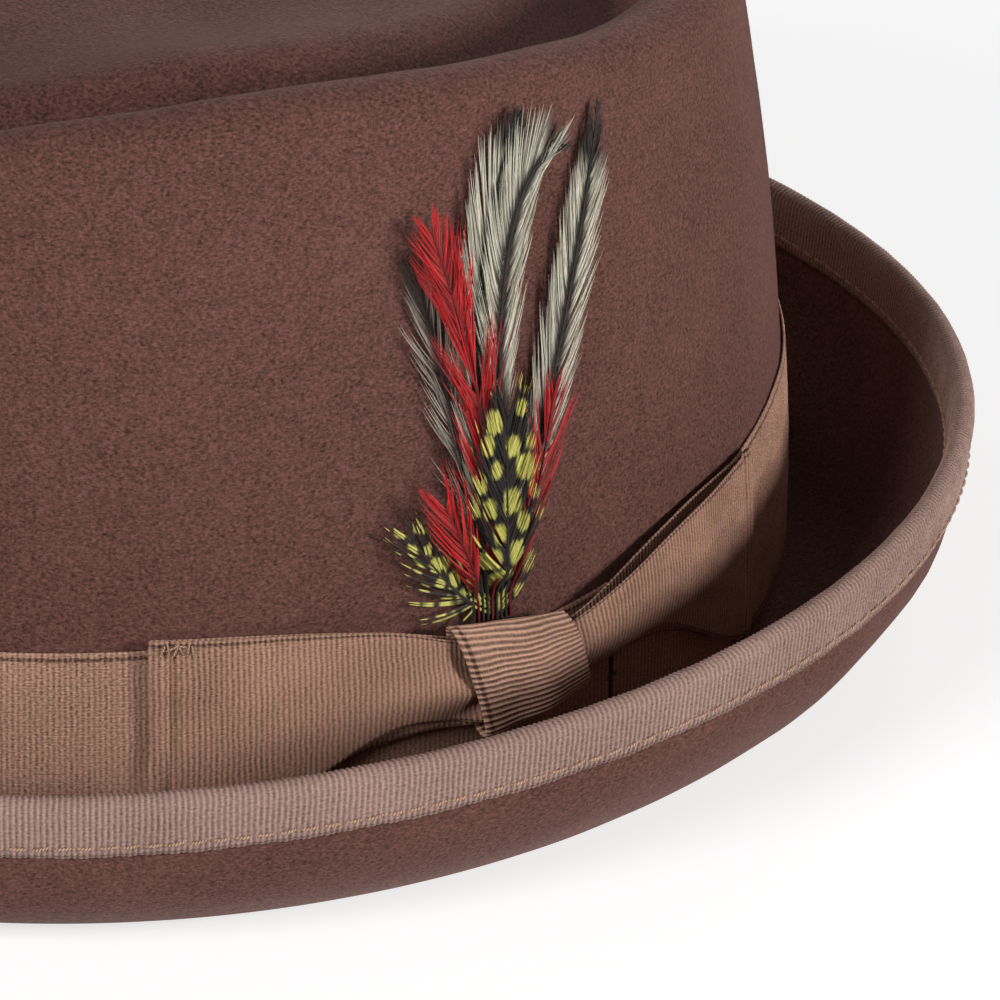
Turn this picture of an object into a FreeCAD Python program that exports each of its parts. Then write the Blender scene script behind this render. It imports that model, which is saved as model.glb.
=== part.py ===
"""A short-brimmed felt hat with a telescope crown, its trimmings and its inner fittings.

The hat stands on the flat foot of its brim. +Z is up, -Y is the front and +X is the wearer's left, where
the bow and the feathers are. The origin is the centre of the head opening, on the surface that the hat
stands on. All sizes are in millimetres.

Every layer follows one oval, the foot of the crown. A place on a layer is given by an angle round the
oval from the front, an offset outwards from it, and a height.
"""
import FreeCAD
import Part
import math
import os

V = FreeCAD.Vector
OUT = "parts"

# ---- Driving dimensions --------------------------------------------------------------------------
CROWN_HALF_LENGTH = 103.0   # the oval: outer felt face at the crown's foot, front to back
CROWN_HALF_WIDTH = 90.7     # the same, side to side
CROWN_HEIGHT = 110.3        # top of the ridge above the surface
FELT = 2.0                  # felt thickness

# The crown's ridge and the brim's edge aren't level: the hat is blocked with a sweep in each. A sweep is
# three numbers, the swings that go once, twice and three times round the oval from the front.
RIDGE_SWEEP = (2.9, -4.6, -3.6)
RIM_SWEEP = (-2.4, -2.1, 0.7)
REACH_SWEEP = (-0.8, -3.0, 0.8)     # the same for how far out the brim reaches
RIDGE_SWEEP_FOOT = 55.0             # the wall's share of the ridge's sweep starts at this height

WALL_FOOT = 16.0            # the crown wall stands upright up to here, and leans in above
WALL_LEAN = 8.3             # how far the wall leans in over the rise below
WALL_LEAN_RISE = 80.0
WALL_LEAN_POWER = 1.5
BREAK_RADIUS = 2.5          # where the wall turns out into the brim, at mid felt

RIDGE_RADIUS = 5.2          # the fold round the crown's top, at mid felt
TROUGH_DEPTH = 14.5         # from the top of the ridge to the bottom of the trough
TROUGH_RADIUS = 5.0
TIP_DROP = 4.5              # the tip lies this far under the ridge
TIP_SLOPE = 36.0            # degrees: the bank from the trough up to the tip
TIP_EDGE_RADIUS = 7.0

BRIM_FLAT = 2.5             # flat foot that the hat stands on
BRIM_CURL_RADIUS = 21.1     # at mid felt
BRIM_CURL_ANGLE = 83.3      # degrees
BRIM_LIP = 10.3              # straight lip above the curl

BINDING_THICK = 0.6         # ribbon folded over the brim's edge
BINDING_LEG = 7.8
THREAD_RADIUS = 0.2
BINDING_SEAM_RISE = 1.8     # the seam's height above the binding's lower edge

BAND_THICK = 0.6            # grosgrain hatband
BAND_WIDTH = 33.0
BAND_FOOT = 5.2
BAND_JOIN = 97.0            # degrees: where the ribbon's two ends meet, under the bow
BAND_JOIN_GAP = 0.6         # degrees
BAND_DIP = 7.8              # the bow pulls the band's upper edge down by this much
BAND_DIP_ANGLE = 86.0
BAND_DIP_FRONT = 26.0       # degrees that the dip reaches towards the front
BAND_DIP_REAR = 46.0
BOW_THICK = 0.5             # ribbon of the bow

BOW_ANGLE = 84.5            # the knot's centre, in degrees round the oval from the front
KNOT_SPAN = 10.6            # degrees that the knot covers
KNOT_SHIFT = 0.5            # degrees that its middle is to the rear of the bow's
KNOT_LEAN = 1.2             # degrees that its foot leans to the rear, and its top to the front
KNOT_LOW = 19.2             # its lower edge at the middle, and how much that rises to the rear
KNOT_LOW_RISE = 2.4
KNOT_HIGH = 35.0            # the same for its upper edge
KNOT_HIGH_RISE = -3.6
KNOT_FRONT = 6.8            # its front layer, out from the hatband's face
LOOP_BULGE = 0.5            # how much a loop's face is rounded
POCKET_DEPTH = 2.2          # slot between the hatband and the knot, for the feathers' stem
BOW_TACK_RADIUS = 0.25

# Stations along each loop, from the knot round the fold and back: degrees from the knot's centre,
# distance from the hatband's face, and the heights of the lower and upper edges.
FRONT_LOOP = (
    (2.0, 4.9, 20.2, 33.2), (5.5, 5.0, 21.4, 34.2), (8.0, 4.8, 22.8, 36.2), (11.0, 4.2, 23.0, 38.0),
    (15.0, 3.3, 19.2, 39.0), (20.0, 2.6, 13.5, 39.8), (25.0, 2.0, 9.5, 40.1), (29.0, 1.6, 7.6, 40.3),
    (30.6, 1.5, 7.2, 40.4), (31.3, 1.05, 7.2, 40.4), (30.6, 0.6, 7.2, 40.3), (29.0, 0.6, 7.6, 40.1),
    (25.0, 0.6, 9.0, 39.8), (20.0, 0.7, 12.5, 39.2), (15.0, 0.9, 17.0, 38.0), (11.0, 1.5, 19.6, 36.8),
    (8.0, 2.7, 20.2, 35.6), (5.5, 3.6, 20.2, 34.4), (2.0, 3.8, 20.0, 33.6),
)
REAR_LOOP = (
    (2.0, 4.9, 21.9, 30.4), (5.5, 5.0, 22.0, 31.0), (9.0, 4.9, 22.2, 32.9), (13.0, 4.6, 23.4, 34.9),
    (17.0, 4.0, 22.6, 36.6), (21.0, 3.4, 18.5, 37.5), (25.0, 2.8, 13.5, 38.0), (29.0, 2.2, 9.5, 38.0),
    (32.0, 1.8, 7.4, 37.8), (33.6, 1.6, 6.8, 37.6), (34.3, 1.1, 6.8, 37.4), (33.6, 0.6, 6.8, 37.3),
    (32.0, 0.6, 7.4, 37.4), (29.0, 0.6, 9.5, 37.6), (25.0, 0.8, 13.0, 37.6), (21.0, 1.1, 17.5, 37.2),
    (17.0, 1.5, 20.5, 36.2), (13.0, 2.2, 21.4, 34.5), (9.0, 3.1, 21.9, 32.6), (5.5, 3.8, 21.9, 30.8),
    (2.0, 3.9, 21.9, 30.2),
)

FEATHER_ANGLE = 83.5        # the stem's place round the oval
FEATHER_LEAN = 3.0          # degrees that the stem leans to the rear
STEM_SLOPE = 0.055          # how fast the stem leans in with height, to suit the wall
STEM_WIDTH = 7.4
STEM_THICK = 1.1
STEM_LOW = 17.0
STEM_HIGH = 33.4
WRAP_LOW = 27.0             # thread wound round the stem
WRAP_HIGH = 32.6
WRAP_THICK = 0.2
STEM_LIFT = 1.8             # the stem's middle, out from the crown's wall
VANE_THICK = 0.3
VANE_ROOT = 33.7            # every quill starts here, on top of the bound stem
VANE_FAN = 37.4             # the quills run side by side up to here, and then spread
ROOT_PITCH = 0.8            # from one quill to the next
ROOT_WIDTH = 0.6

# The feathers from front to rear: the middle and the tip of the quill, each as a distance to the rear of
# the stem and a height, then the vane's greatest width and its distance from the crown's wall.
FEATHERS = {
    "guinea_feather_side": ((-7.5, 40.5), (-14.0, 51.0), 7.0, 3.4),
    "red_hackle_lower": ((-5.0, 45.5), (-9.0, 55.0), 4.5, 4.6),
    "dark_hackle": ((-2.0, 58.0), (-11.0, 91.0), 6.0, 1.6),
    "badger_hackle_left": ((-6.0, 85.0), (10.1, 108.7), 7.0, 2.8),
    "red_hackle_upper": ((1.5, 62.0), (-8.3, 96.0), 7.0, 4.0),
    "guinea_feather_front": ((0.5, 50.0), (1.9, 66.5), 13.5, 5.2),
    "badger_hackle_middle": ((-1.0, 102.0), (17.5, 102.4), 7.0, 3.4),
    "badger_hackle_right": ((12.0, 66.0), (28.0, 105.0), 8.0, 2.0),
    "red_hackle_rear": ((8.0, 50.0), (12.5, 66.0), 4.5, 2.8),
}

SWEAT_THICK = 0.9           # leather sweatband, folded round a reed along its lower edge
SWEAT_FOLD_OFFSET = -3.6    # middle of the leather's outer leg
SWEAT_FOLD_HEIGHT = 3.9     # the reed's centre
SWEAT_OUTER_LEG = 4.0
SWEAT_SEAM_RISE = 2.5       # seam above the fold
SWEAT_SIDE = (              # the leather above the fold: offset and height
    (-6.4, 9.0), (-5.7, 12.0), (-5.0, 16.0), (-4.6, 20.0), (-4.45, 26.0), (-4.5, 32.0), (-4.65, 37.0),
)
SWEAT_END_GAP = 0.5         # degrees left open each side of the back
REED_RADIUS = 1.0
REED_CLEARANCE = 0.1
SWEAT_BOW_HALF = 9.0        # degrees that each loop of the inner bow reaches
SWEAT_BOW_WIDTH = 5.0
SWEAT_BOW_THICK = 0.5

LINING_THICK = 0.3
LINING_STANDOFF = 0.4       # in from the felt
LINING_FOOT = 12.0
LINING_TOP = 86.6           # height of the lining's flat tip
LINING_CORD_RADIUS = 0.7

GAP = 0.1                   # between layers that touch in one body

# ---- Resolution of the control nets --------------------------------------------------------------
RING_POINTS = 72            # round the oval
STRIP_STEP = 3.0            # degrees between the points of an open strip
ARC_STEP = 11.0             # degrees between the points of a fold


# ---- The oval and the crown's wall ----------------------------------------------------------------
def place(angle, offset, height):
    """The point at that angle round the oval, offset outwards and raised."""
    t = math.radians(angle)
    nx = CROWN_HALF_LENGTH * math.sin(t)
    ny = -CROWN_HALF_WIDTH * math.cos(t)
    n = math.hypot(nx, ny)
    return V(
        CROWN_HALF_WIDTH * math.sin(t) + offset * nx / n,
        -CROWN_HALF_LENGTH * math.cos(t) + offset * ny / n,
        height,
    )


def sweep(swings, angle):
    return sum(a * math.cos(math.radians((i + 1) * angle)) for i, a in enumerate(swings))


def control(point, step, share=1.0):
    """A control point for a cubic that bends round the oval. The cubic runs a little inside its control
    points, and this makes up for it."""
    fill = 3.0 / (2.0 + math.cos(math.radians(step))) * share
    return V(point.x * fill, point.y * fill, point.z)


def ring(offset, height, share=1.0, rise=(0, 0, 0), reach=(0, 0, 0)):
    """Control points of a closed oval, with a sweep in its height and in its offset."""
    step = 360.0 / RING_POINTS
    angles = [step * i for i in range(RING_POINTS)]
    points = [place(a, offset + sweep(reach, a), height + sweep(rise, a)) for a in angles]
    return [control(p, step, share) for p in points]


def strip(start, end, offset, height):
    """Control points of an open run along the oval."""
    count = max(4, round(abs(end - start) / STRIP_STEP)) + 1
    step = (end - start) / (count - 1)
    return [control(place(start + step * i, offset, height), step) for i in range(count)]


def wall_offset(height):
    """Offset of the crown's outer felt face at a height."""
    rise = max(0.0, (height - WALL_FOOT) / WALL_LEAN_RISE)
    return -WALL_LEAN * rise ** WALL_LEAN_POWER


def wall_slope(height):
    """How fast that offset changes with height."""
    rise = max(0.0, (height - WALL_FOOT) / WALL_LEAN_RISE)
    return -WALL_LEAN * WALL_LEAN_POWER / WALL_LEAN_RISE * rise ** (WALL_LEAN_POWER - 1)


# ---- Surfaces and solids from control nets ---------------------------------------------------------
def clamped(count):
    degree = min(3, count - 1)
    inner = count - degree - 1
    knots = list(range(inner + 2))
    return degree, knots, [degree + 1] + [1] * inner + [degree + 1]


def skin(rows, closed):
    """A smooth face over rows of control points. Closed rows are rings."""
    across, row_knots, row_mults = clamped(len(rows))
    count = len(rows[0])
    if closed:
        along, knots, mults = 3, list(range(count + 1)), [1] * (count + 1)
    else:
        along, knots, mults = clamped(count)
    surface = Part.BSplineSurface()
    surface.buildFromPolesMultsKnots(
        rows, row_mults, mults, row_knots, knots, False, closed, across, along
    )
    return surface.toShape()


def ring_wire(points):
    curve = Part.BSplineCurve()
    curve.buildFromPolesMultsKnots(
        points, [1] * (len(points) + 1), list(range(len(points) + 1)), True, 3
    )
    return Part.Wire([curve.toShape()])


def flat_face(*rings):
    """The flat face inside one ring, or between two."""
    return Part.makeFace([ring_wire(r) for r in rings], "Part::FaceMakerBullseye")


def solid_from(faces, name):
    shell = Part.makeCompound(faces)
    shell.sewShape()
    if len(shell.Shells) != 1 or not shell.Shells[0].isClosed():
        raise ValueError(f"{name} doesn't close")
    solid = Part.makeSolid(shell.Shells[0])
    if solid.Volume < 0:
        solid.reverse()
    return solid


def sheet_solid(outer, inner, name):
    """An open sheet between two nets of control points."""
    def edge(a, b):
        return skin([a, b], False)

    faces = [skin(outer, False), skin(inner, False)]
    faces += [edge(outer[i], inner[i]) for i in (0, -1)]
    faces += [edge([r[i] for r in outer], [r[i] for r in inner]) for i in (0, -1)]
    return solid_from(faces, name)


def thick_sheet(net, thick, name):
    """A sheet of one thickness round a net of middle points."""
    rows, cols = len(net), len(net[0])

    def normal(i, j):
        along = net[min(i + 1, rows - 1)][j] - net[max(i - 1, 0)][j]
        across = net[i][min(j + 1, cols - 1)] - net[i][max(j - 1, 0)]
        return along.cross(across).normalize()

    def side(sign):
        return [
            [net[i][j] + normal(i, j) * (sign * thick / 2) for j in range(cols)]
            for i in range(rows)
        ]

    return sheet_solid(side(1), side(-1), name)


# ---- Paths in a section: runs and turns -------------------------------------------------------------
class Path:
    """A line in a section, of straight runs and round turns. Each point keeps its heading, in degrees
    from straight outwards, so that a face beside the line is exact."""

    def __init__(self, offset, height, heading):
        self.points = [(offset, height, heading)]

    def run(self, length, pieces=2):
        offset, height, heading = self.points[-1]
        a = math.radians(heading)
        for i in range(1, pieces + 1):
            step = length * i / pieces
            self.points.append((offset + step * math.cos(a), height + step * math.sin(a), heading))
        return self

    def turn(self, radius, angle):
        """Turns left by a positive angle and right by a negative one."""
        offset, height, heading = self.points[-1]
        side = math.copysign(90.0, angle)
        a = math.radians(heading + side)
        centre = (offset + radius * math.cos(a), height + radius * math.sin(a))
        pieces = max(2, math.ceil(abs(angle) / ARC_STEP))
        for i in range(1, pieces + 1):
            now = heading + angle * i / pieces
            a = math.radians(now - side)
            self.points.append(
                (centre[0] + radius * math.cos(a), centre[1] + radius * math.sin(a), now)
            )
        return self

    def end(self):
        return self.points[-1]

    def beside(self, distance):
        """The line's points moved to its left by distance."""
        moved = []
        for offset, height, heading in self.points:
            a = math.radians(heading + 90.0)
            moved.append((offset + distance * math.cos(a), height + distance * math.sin(a)))
        return moved


def crown_path():
    """Middle of the felt, from the brim's foot inwards and up to the edge of the tip."""
    path = Path(BREAK_RADIUS - FELT / 2, FELT / 2, 180.0).turn(BREAK_RADIUS, -90.0)
    top = CROWN_HEIGHT - FELT / 2 - RIDGE_RADIUS
    pieces = 12
    foot = path.end()[1]
    for i in range(1, pieces + 1):
        height = foot + (top - foot) * i / pieces
        lean = math.degrees(math.atan(-wall_slope(height)))
        path.points.append((wall_offset(height) - FELT / 2, height, 90.0 + lean))
    path.turn(RIDGE_RADIUS, 180.0 - path.end()[2])
    down = 78.0
    path.turn(RIDGE_RADIUS, down)
    bank = TIP_SLOPE
    fall = TROUGH_DEPTH - (RIDGE_RADIUS + TROUGH_RADIUS) * (1 - math.cos(math.radians(down)))
    path.run(fall / math.sin(math.radians(down)))
    path.turn(TROUGH_RADIUS, -down - bank)
    risen = (TROUGH_RADIUS + TIP_EDGE_RADIUS) * (1 - math.cos(math.radians(bank)))
    path.run((TROUGH_DEPTH - TIP_DROP - risen) / math.sin(math.radians(bank)))
    path.turn(TIP_EDGE_RADIUS, bank)
    return path


FLAT_PIECES = 3


def brim_path():
    """Middle of the felt, from the brim's foot outwards to the end of the lip."""
    path = Path(BREAK_RADIUS - FELT / 2, FELT / 2, 0.0).run(BRIM_FLAT, FLAT_PIECES)
    return path.turn(BRIM_CURL_RADIUS, BRIM_CURL_ANGLE).run(BRIM_LIP, 4)


def round_end(path, radius, pieces=6):
    """Points round the end of a path, from its left side to its right."""
    offset, height, heading = path.end()
    points = []
    for i in range(pieces + 1):
        a = math.radians(heading + 90.0 - 180.0 * i / pieces)
        points.append((offset + radius * math.cos(a), height + radius * math.sin(a)))
    return points


# ---- Felt body --------------------------------------------------------------------------------------
# Rings of the flat tip: each a share of the tip's edge, and how much of the ridge's sweep it keeps.
TIP_EDGE_SWEEP = 0.7
TIP_RINGS = ((0.97, 0.68), (0.9, 0.6), (0.8, 0.42), (0.68, 0.2), (0.55, 0.05), (0.45, 0.0))


def scaled(swings, weight):
    return tuple(weight * a for a in swings)


def shoulder(path):
    """Which point of the crown's path ends its side, where the ridge's fold starts."""
    ridge = CROWN_HEIGHT - FELT / 2 - RIDGE_RADIUS
    return next(i for i, p in enumerate(path.points) if p[1] >= ridge - 1e-6)


def crown_weights(path):
    """How much of the ridge's sweep each point of the crown's path keeps."""
    ridge = CROWN_HEIGHT - FELT / 2 - RIDGE_RADIUS
    heights = [p[1] for p in path.points]
    first = shoulder(path)
    weights = []
    for i, height in enumerate(heights):
        if i <= first:
            rise = (height - RIDGE_SWEEP_FOOT) / (ridge - RIDGE_SWEEP_FOOT)
            weights.append(max(0.0, rise) ** 2)
        else:
            along = (i - first) / (len(heights) - 1 - first)
            weights.append(1.0 + (TIP_EDGE_SWEEP - 1.0) * along)
    return weights


def brim_ring(offset, height):
    """A ring of the brim, which keeps more of the rim's sweep the nearer it is to the straight lip."""
    lip = brim_path().end()[1] - BRIM_LIP
    weight = min(1.0, max(0.0, (height - FELT) / (lip - FELT)))
    return ring(offset, height, rise=scaled(RIM_SWEEP, weight), reach=scaled(REACH_SWEEP, weight))


def rim_ring(offset, height):
    return ring(offset, height, rise=RIM_SWEEP, reach=REACH_SWEEP)


def crown_rings(path, distance):
    rings = [
        ring(*p, rise=scaled(RIDGE_SWEEP, w))
        for p, w in zip(path.beside(distance), crown_weights(path))
    ]
    edge = path.beside(distance)[-1]
    rings += [ring(*edge, share=s, rise=scaled(RIDGE_SWEEP, w)) for s, w in TIP_RINGS]
    return rings


def felt_pieces():
    """The felt in three pieces that meet face to face: the crown's side, its tip, and the brim."""
    crown, brim = crown_path(), brim_path()
    half = FELT / 2
    outer, inner = crown_rings(crown, -half), crown_rings(crown, half)
    cut = shoulder(crown)
    foot = skin([outer[0], inner[0]], True)
    seam = skin([outer[cut], inner[cut]], True)
    sides = [skin(outer[:cut + 1], True), skin(inner[:cut + 1], True)]
    yield "felt_crown", solid_from(sides + [foot, seam], "felt_crown")
    folds = [skin(outer[cut:], True), skin(inner[cut:], True)]
    tops = [flat_face(outer[-1]), flat_face(inner[-1])]
    yield "felt_tip", solid_from(folds + tops + [seam], "felt_tip")
    curl = [brim_ring(*p) for p in brim.beside(half)[:-1]]
    curl += [rim_ring(*p) for p in round_end(brim, half)]
    curl += [brim_ring(*p) for p in reversed(brim.beside(-half)[FLAT_PIECES:-1])]
    sole = flat_face(curl[-1], inner[0])
    yield "felt_brim", solid_from([skin(curl, True), foot, sole], "felt_brim")


# ---- Binding on the brim's edge ----------------------------------------------------------------------
def on_lip(down, out):
    """A place beside the lip: down it from the end, and out from its middle."""
    offset, height, heading = brim_path().end()
    a = math.radians(heading)
    return (
        offset - down * math.cos(a) + out * math.sin(a),
        height - down * math.sin(a) - out * math.cos(a),
    )


def brim_binding():
    near = FELT / 2 + GAP
    far = near + BINDING_THICK
    path = brim_path()
    legs = [BINDING_LEG * share for share in (1.0, 0.66, 0.33)]
    inner = [on_lip(d, -near) for d in legs] + round_end(path, near)
    inner += [on_lip(d, near) for d in reversed(legs)]
    outer = [on_lip(d, -far) for d in legs] + round_end(path, far)
    outer += [on_lip(d, far) for d in reversed(legs)]
    sides = [inner, [inner[-1], outer[-1]], outer, [outer[0], inner[0]]]
    return solid_from([skin([rim_ring(*p) for p in side], True) for side in sides], "brim_binding")


def thread_ring(offset, height, radius, maker, name):
    """A thread or a cord that runs right round the hat, with eight flats round it."""
    turns = [math.radians(22.5 + 45.0 * i) for i in range(8)]
    rings = [maker(offset + radius * math.cos(a), height + radius * math.sin(a)) for a in turns]
    faces = [skin([rings[i - 1], rings[i]], True) for i in range(8)]
    return solid_from(faces, name)


def binding_thread():
    """One seam through the binding and the brim: a run of thread on each side."""
    down = BINDING_LEG - BINDING_SEAM_RISE
    out = FELT / 2 + GAP + BINDING_THICK + THREAD_RADIUS
    runs = [
        thread_ring(*on_lip(down, side * out), THREAD_RADIUS, rim_ring, "binding_thread")
        for side in (1, -1)
    ]
    return Part.makeCompound(runs)


# ---- Hatband -----------------------------------------------------------------------------------------
BAND_FACE = GAP + BAND_THICK    # the hatband's outer face, out from the crown's wall


def on_band(angle, standoff, height):
    """A place in front of the hatband's face."""
    return place(angle, wall_offset(height) + BAND_FACE + standoff, height)


def band_dip(angle):
    """How far the band's upper edge is pulled down at an angle."""
    away = angle - BAND_DIP_ANGLE
    share = abs(away) / (BAND_DIP_REAR if away > 0 else BAND_DIP_FRONT)
    return BAND_DIP * (0.5 + 0.5 * math.cos(math.pi * min(1.0, share)))


def hatband():
    start = BAND_JOIN + BAND_JOIN_GAP / 2
    end = BAND_JOIN - BAND_JOIN_GAP / 2 + 360.0
    count = round((end - start) / STRIP_STEP)
    step = (end - start) / count

    def side(distance):
        rows = []
        for share in (0.0, 0.2, 0.4, 0.6, 0.8, 1.0):
            row = []
            for i in range(count + 1):
                angle = start + step * i
                height = BAND_FOOT + (BAND_WIDTH - band_dip(angle % 360.0)) * share
                row.append(control(place(angle, wall_offset(height) + distance, height), step))
            rows.append(row)
        return rows

    return sheet_solid(side(BAND_FACE), side(GAP), "hatband")


def bar(start, end, radius):
    """A short stitch."""
    return Part.makeCylinder(radius, (end - start).Length, start, end - start)


def hatband_stitches():
    """Stitches across the join of the hatband's ends."""
    reach = BAND_JOIN_GAP
    out = THREAD_RADIUS + GAP
    width = BAND_WIDTH - band_dip(BAND_JOIN)
    heights = [BAND_FOOT + width * (i + 0.5) / 6 for i in range(6)]
    bars = [
        bar(on_band(BAND_JOIN - reach, out, h), on_band(BAND_JOIN + reach, out, h), THREAD_RADIUS)
        for h in heights
    ]
    return Part.makeCompound(bars)


# ---- Bow ---------------------------------------------------------------------------------------------
def bow_loop(stations, direction, name):
    """A flattened loop of ribbon, open at the top and at the bottom."""
    net = []
    for away, standoff, low, high in stations:
        row = []
        for i in range(5):
            share = i / 4
            height = low + (high - low) * share
            bulge = LOOP_BULGE * math.sin(math.pi * share) * (1 if standoff > 3 else 0)
            row.append(on_band(BOW_ANGLE + direction * away, standoff + bulge, height))
        net.append(row)
    return thick_sheet(net, BOW_THICK, name)


def knot_edges(share):
    """The knot's lower and upper edges at a share of its width from its middle."""
    return KNOT_LOW + KNOT_LOW_RISE * share, KNOT_HIGH + KNOT_HIGH_RISE * share


def knot_section(low, high):
    """The knot's strip of ribbon, from the seam behind it down and round: standoff and height."""
    back, front = POCKET_DEPTH + BOW_THICK / 2, KNOT_FRONT
    middle = (low + high) / 2
    return (
        (back, middle - 0.4), (back, low + 4.0), (back + 0.3, low + 1.4), (back + 1.4, low),
        (front - 1.4, low + 0.2), (front - 0.2, low + 1.8), (front + 0.3, middle - 3.0),
        (front + 0.3, middle + 3.0), (front - 0.2, high - 1.9), (front - 1.4, high - 0.2),
        (back + 1.4, high), (back + 0.3, high - 1.2), (back, high - 4.0), (back, middle + 0.4),
    )


def knot_angle(share, height):
    middle = (KNOT_LOW + KNOT_HIGH) / 2
    lean = KNOT_LEAN * (middle - height) / (KNOT_HIGH - middle)
    return BOW_ANGLE + KNOT_SHIFT + lean + KNOT_SPAN * share


def bow_knot():
    columns = []
    for share in (-0.5, -0.25, 0.0, 0.25, 0.5):
        section = knot_section(*knot_edges(share))
        columns.append([on_band(knot_angle(share, h), standoff, h) for standoff, h in section])
    net = [list(row) for row in zip(*columns)]
    return thick_sheet(net, BOW_THICK, "bow_knot")


def bow_tacks():
    """Stitches that hold the knot to the hatband, clear of the feathers' stem."""
    bars = []
    for away in (-3.8, 4.2):
        low, high = knot_edges(away / KNOT_SPAN)
        for height in (low + 4.0, high - 4.0):
            angle = BOW_ANGLE + away
            start = on_band(angle, GAP, height)
            end = on_band(angle, POCKET_DEPTH - GAP, height)
            bars.append(bar(start, end, BOW_TACK_RADIUS))
    return Part.makeCompound(bars)


def loop_end_stitches(stations, direction):
    """Stitches at the upper corner of a loop's folded end, on its front."""
    fold = max(stations)
    front = stations[:stations.index(fold)]
    bars = []
    for i in range(4):
        away = fold[0] - 1.6 - 0.9 * i
        before, after = [pair for pair in zip(front, front[1:] + (fold,)) if pair[0][0] <= away][-1]
        share = (away - before[0]) / (after[0] - before[0])
        face = before[1] + (after[1] - before[1]) * share + BOW_THICK / 2
        out = face + THREAD_RADIUS + GAP
        high = fold[3] - 1.2
        angle = BOW_ANGLE + direction * away
        bars.append(bar(on_band(angle, out, high - 2.4), on_band(angle, out, high), THREAD_RADIUS))
    return Part.makeCompound(bars)


# ---- Feathers ----------------------------------------------------------------------------------------
def mm_per_degree(angle):
    t = math.radians(angle)
    return math.radians(math.hypot(CROWN_HALF_WIDTH * math.cos(t), CROWN_HALF_LENGTH * math.sin(t)))


def on_crown(along, height, lift):
    """A place in front of the crown's wall, by its distance to the rear of the feathers' stem."""
    return place(FEATHER_ANGLE + along / mm_per_degree(FEATHER_ANGLE), wall_offset(height) + lift, height)


def stem_frame():
    """The middle of the stem's top, and the directions along it, across it to the rear, and outwards."""
    top = on_crown(0.0, STEM_HIGH, STEM_LIFT)
    out = (place(FEATHER_ANGLE, 1.0, 0.0) - place(FEATHER_ANGLE, 0.0, 0.0)).normalize()
    rear = V(0, 0, 1).cross(out)
    up = V(0, 0, 1) + rear * math.tan(math.radians(FEATHER_LEAN)) - out * STEM_SLOPE
    up.normalize()
    across = (rear - up * rear.dot(up)).normalize()
    return top, up, across, across.cross(up)


def stem_block(low, high, width, thick, name):
    top, up, across, _ = stem_frame()
    net = [
        [top + up * (h - STEM_HIGH) + across * (width * side) for side in (-0.5, 0.5)]
        for h in (low, high)
    ]
    return thick_sheet(net, thick, name)


def feather_stem():
    return stem_block(STEM_LOW, STEM_HIGH, STEM_WIDTH, STEM_THICK, "feather_stem")


def feather_wrap():
    inner, outer = GAP / 2, GAP / 2 + WRAP_THICK
    tube = stem_block(WRAP_LOW, WRAP_HIGH, STEM_WIDTH + 2 * outer, STEM_THICK + 2 * outer, "wrap")
    core = stem_block(WRAP_LOW - 1, WRAP_HIGH + 1, STEM_WIDTH + 2 * inner, STEM_THICK + 2 * inner, "core")
    return tube.cut(core)


def leaf(share):
    """Half width of a vane along its quill, as a share of its greatest half width."""
    return max(0.06, min(1.0, 2.4 * share) * math.sqrt(min(1.0, 4.0 * (1.0 - share))))


def feather(index, name):
    middle, tip, width, lift = FEATHERS[name]
    root = (index - (len(FEATHERS) - 1) / 2) * ROOT_PITCH
    stations = [(root, VANE_ROOT, 0.0), (root, (VANE_ROOT + VANE_FAN) / 2, 0.0)]
    pieces = 12
    for i in range(pieces + 1):
        s = i / pieces
        along = (1 - s) ** 2 * root + 2 * s * (1 - s) * middle[0] + s * s * tip[0]
        height = (1 - s) ** 2 * VANE_FAN + 2 * s * (1 - s) * middle[1] + s * s * tip[1]
        stations.append((along, height, s))
    net = []
    for i, (along, height, s) in enumerate(stations):
        before, after = stations[max(i - 1, 0)], stations[min(i + 1, len(stations) - 1)]
        dx, dz = after[0] - before[0], after[1] - before[1]
        n = math.hypot(dx, dz)
        ease = min(1.0, max(0.0, height - VANE_FAN) / 6.0)
        half = width / 2 * leaf(s) if s > 0.5 else max(ROOT_WIDTH / 2, width / 2 * leaf(s) * ease ** 3)
        out = STEM_LIFT + (lift - STEM_LIFT) * ease * ease * (3 - 2 * ease)
        row = []
        for side in (-1.0, -0.5, 0.0, 0.5, 1.0):
            row.append(on_crown(along + side * half * dz / n, height - side * half * dx / n, out))
        net.append(row)
    return thick_sheet(net, VANE_THICK, name)


# ---- Sweatband ---------------------------------------------------------------------------------------
def sweat_path():
    """Middle of the leather: down its outer leg, round the reed, and up the side."""
    path = Path(SWEAT_FOLD_OFFSET, SWEAT_FOLD_HEIGHT + SWEAT_OUTER_LEG, -90.0)
    path.run(SWEAT_OUTER_LEG)
    path.turn(REED_RADIUS + REED_CLEARANCE + SWEAT_THICK / 2, -180.0)
    path.run(SWEAT_SEAM_RISE)
    for offset, height in SWEAT_SIDE:
        last = path.end()
        path.points.append((offset, height, math.degrees(math.atan2(height - last[1], offset - last[0]))))
    return path


def sweatband():
    path = sweat_path()
    ends = (180.0 + SWEAT_END_GAP, 540.0 - SWEAT_END_GAP)

    def side(sign):
        return [strip(*ends, *p) for p in path.beside(sign * SWEAT_THICK / 2)]

    return sheet_solid(side(1), side(-1), "sweatband")


def reed_centre():
    fold = REED_RADIUS + REED_CLEARANCE + SWEAT_THICK / 2
    return SWEAT_FOLD_OFFSET - fold, SWEAT_FOLD_HEIGHT


def sweatband_reed():
    return thread_ring(*reed_centre(), REED_RADIUS, ring, "sweatband_reed")


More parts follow.
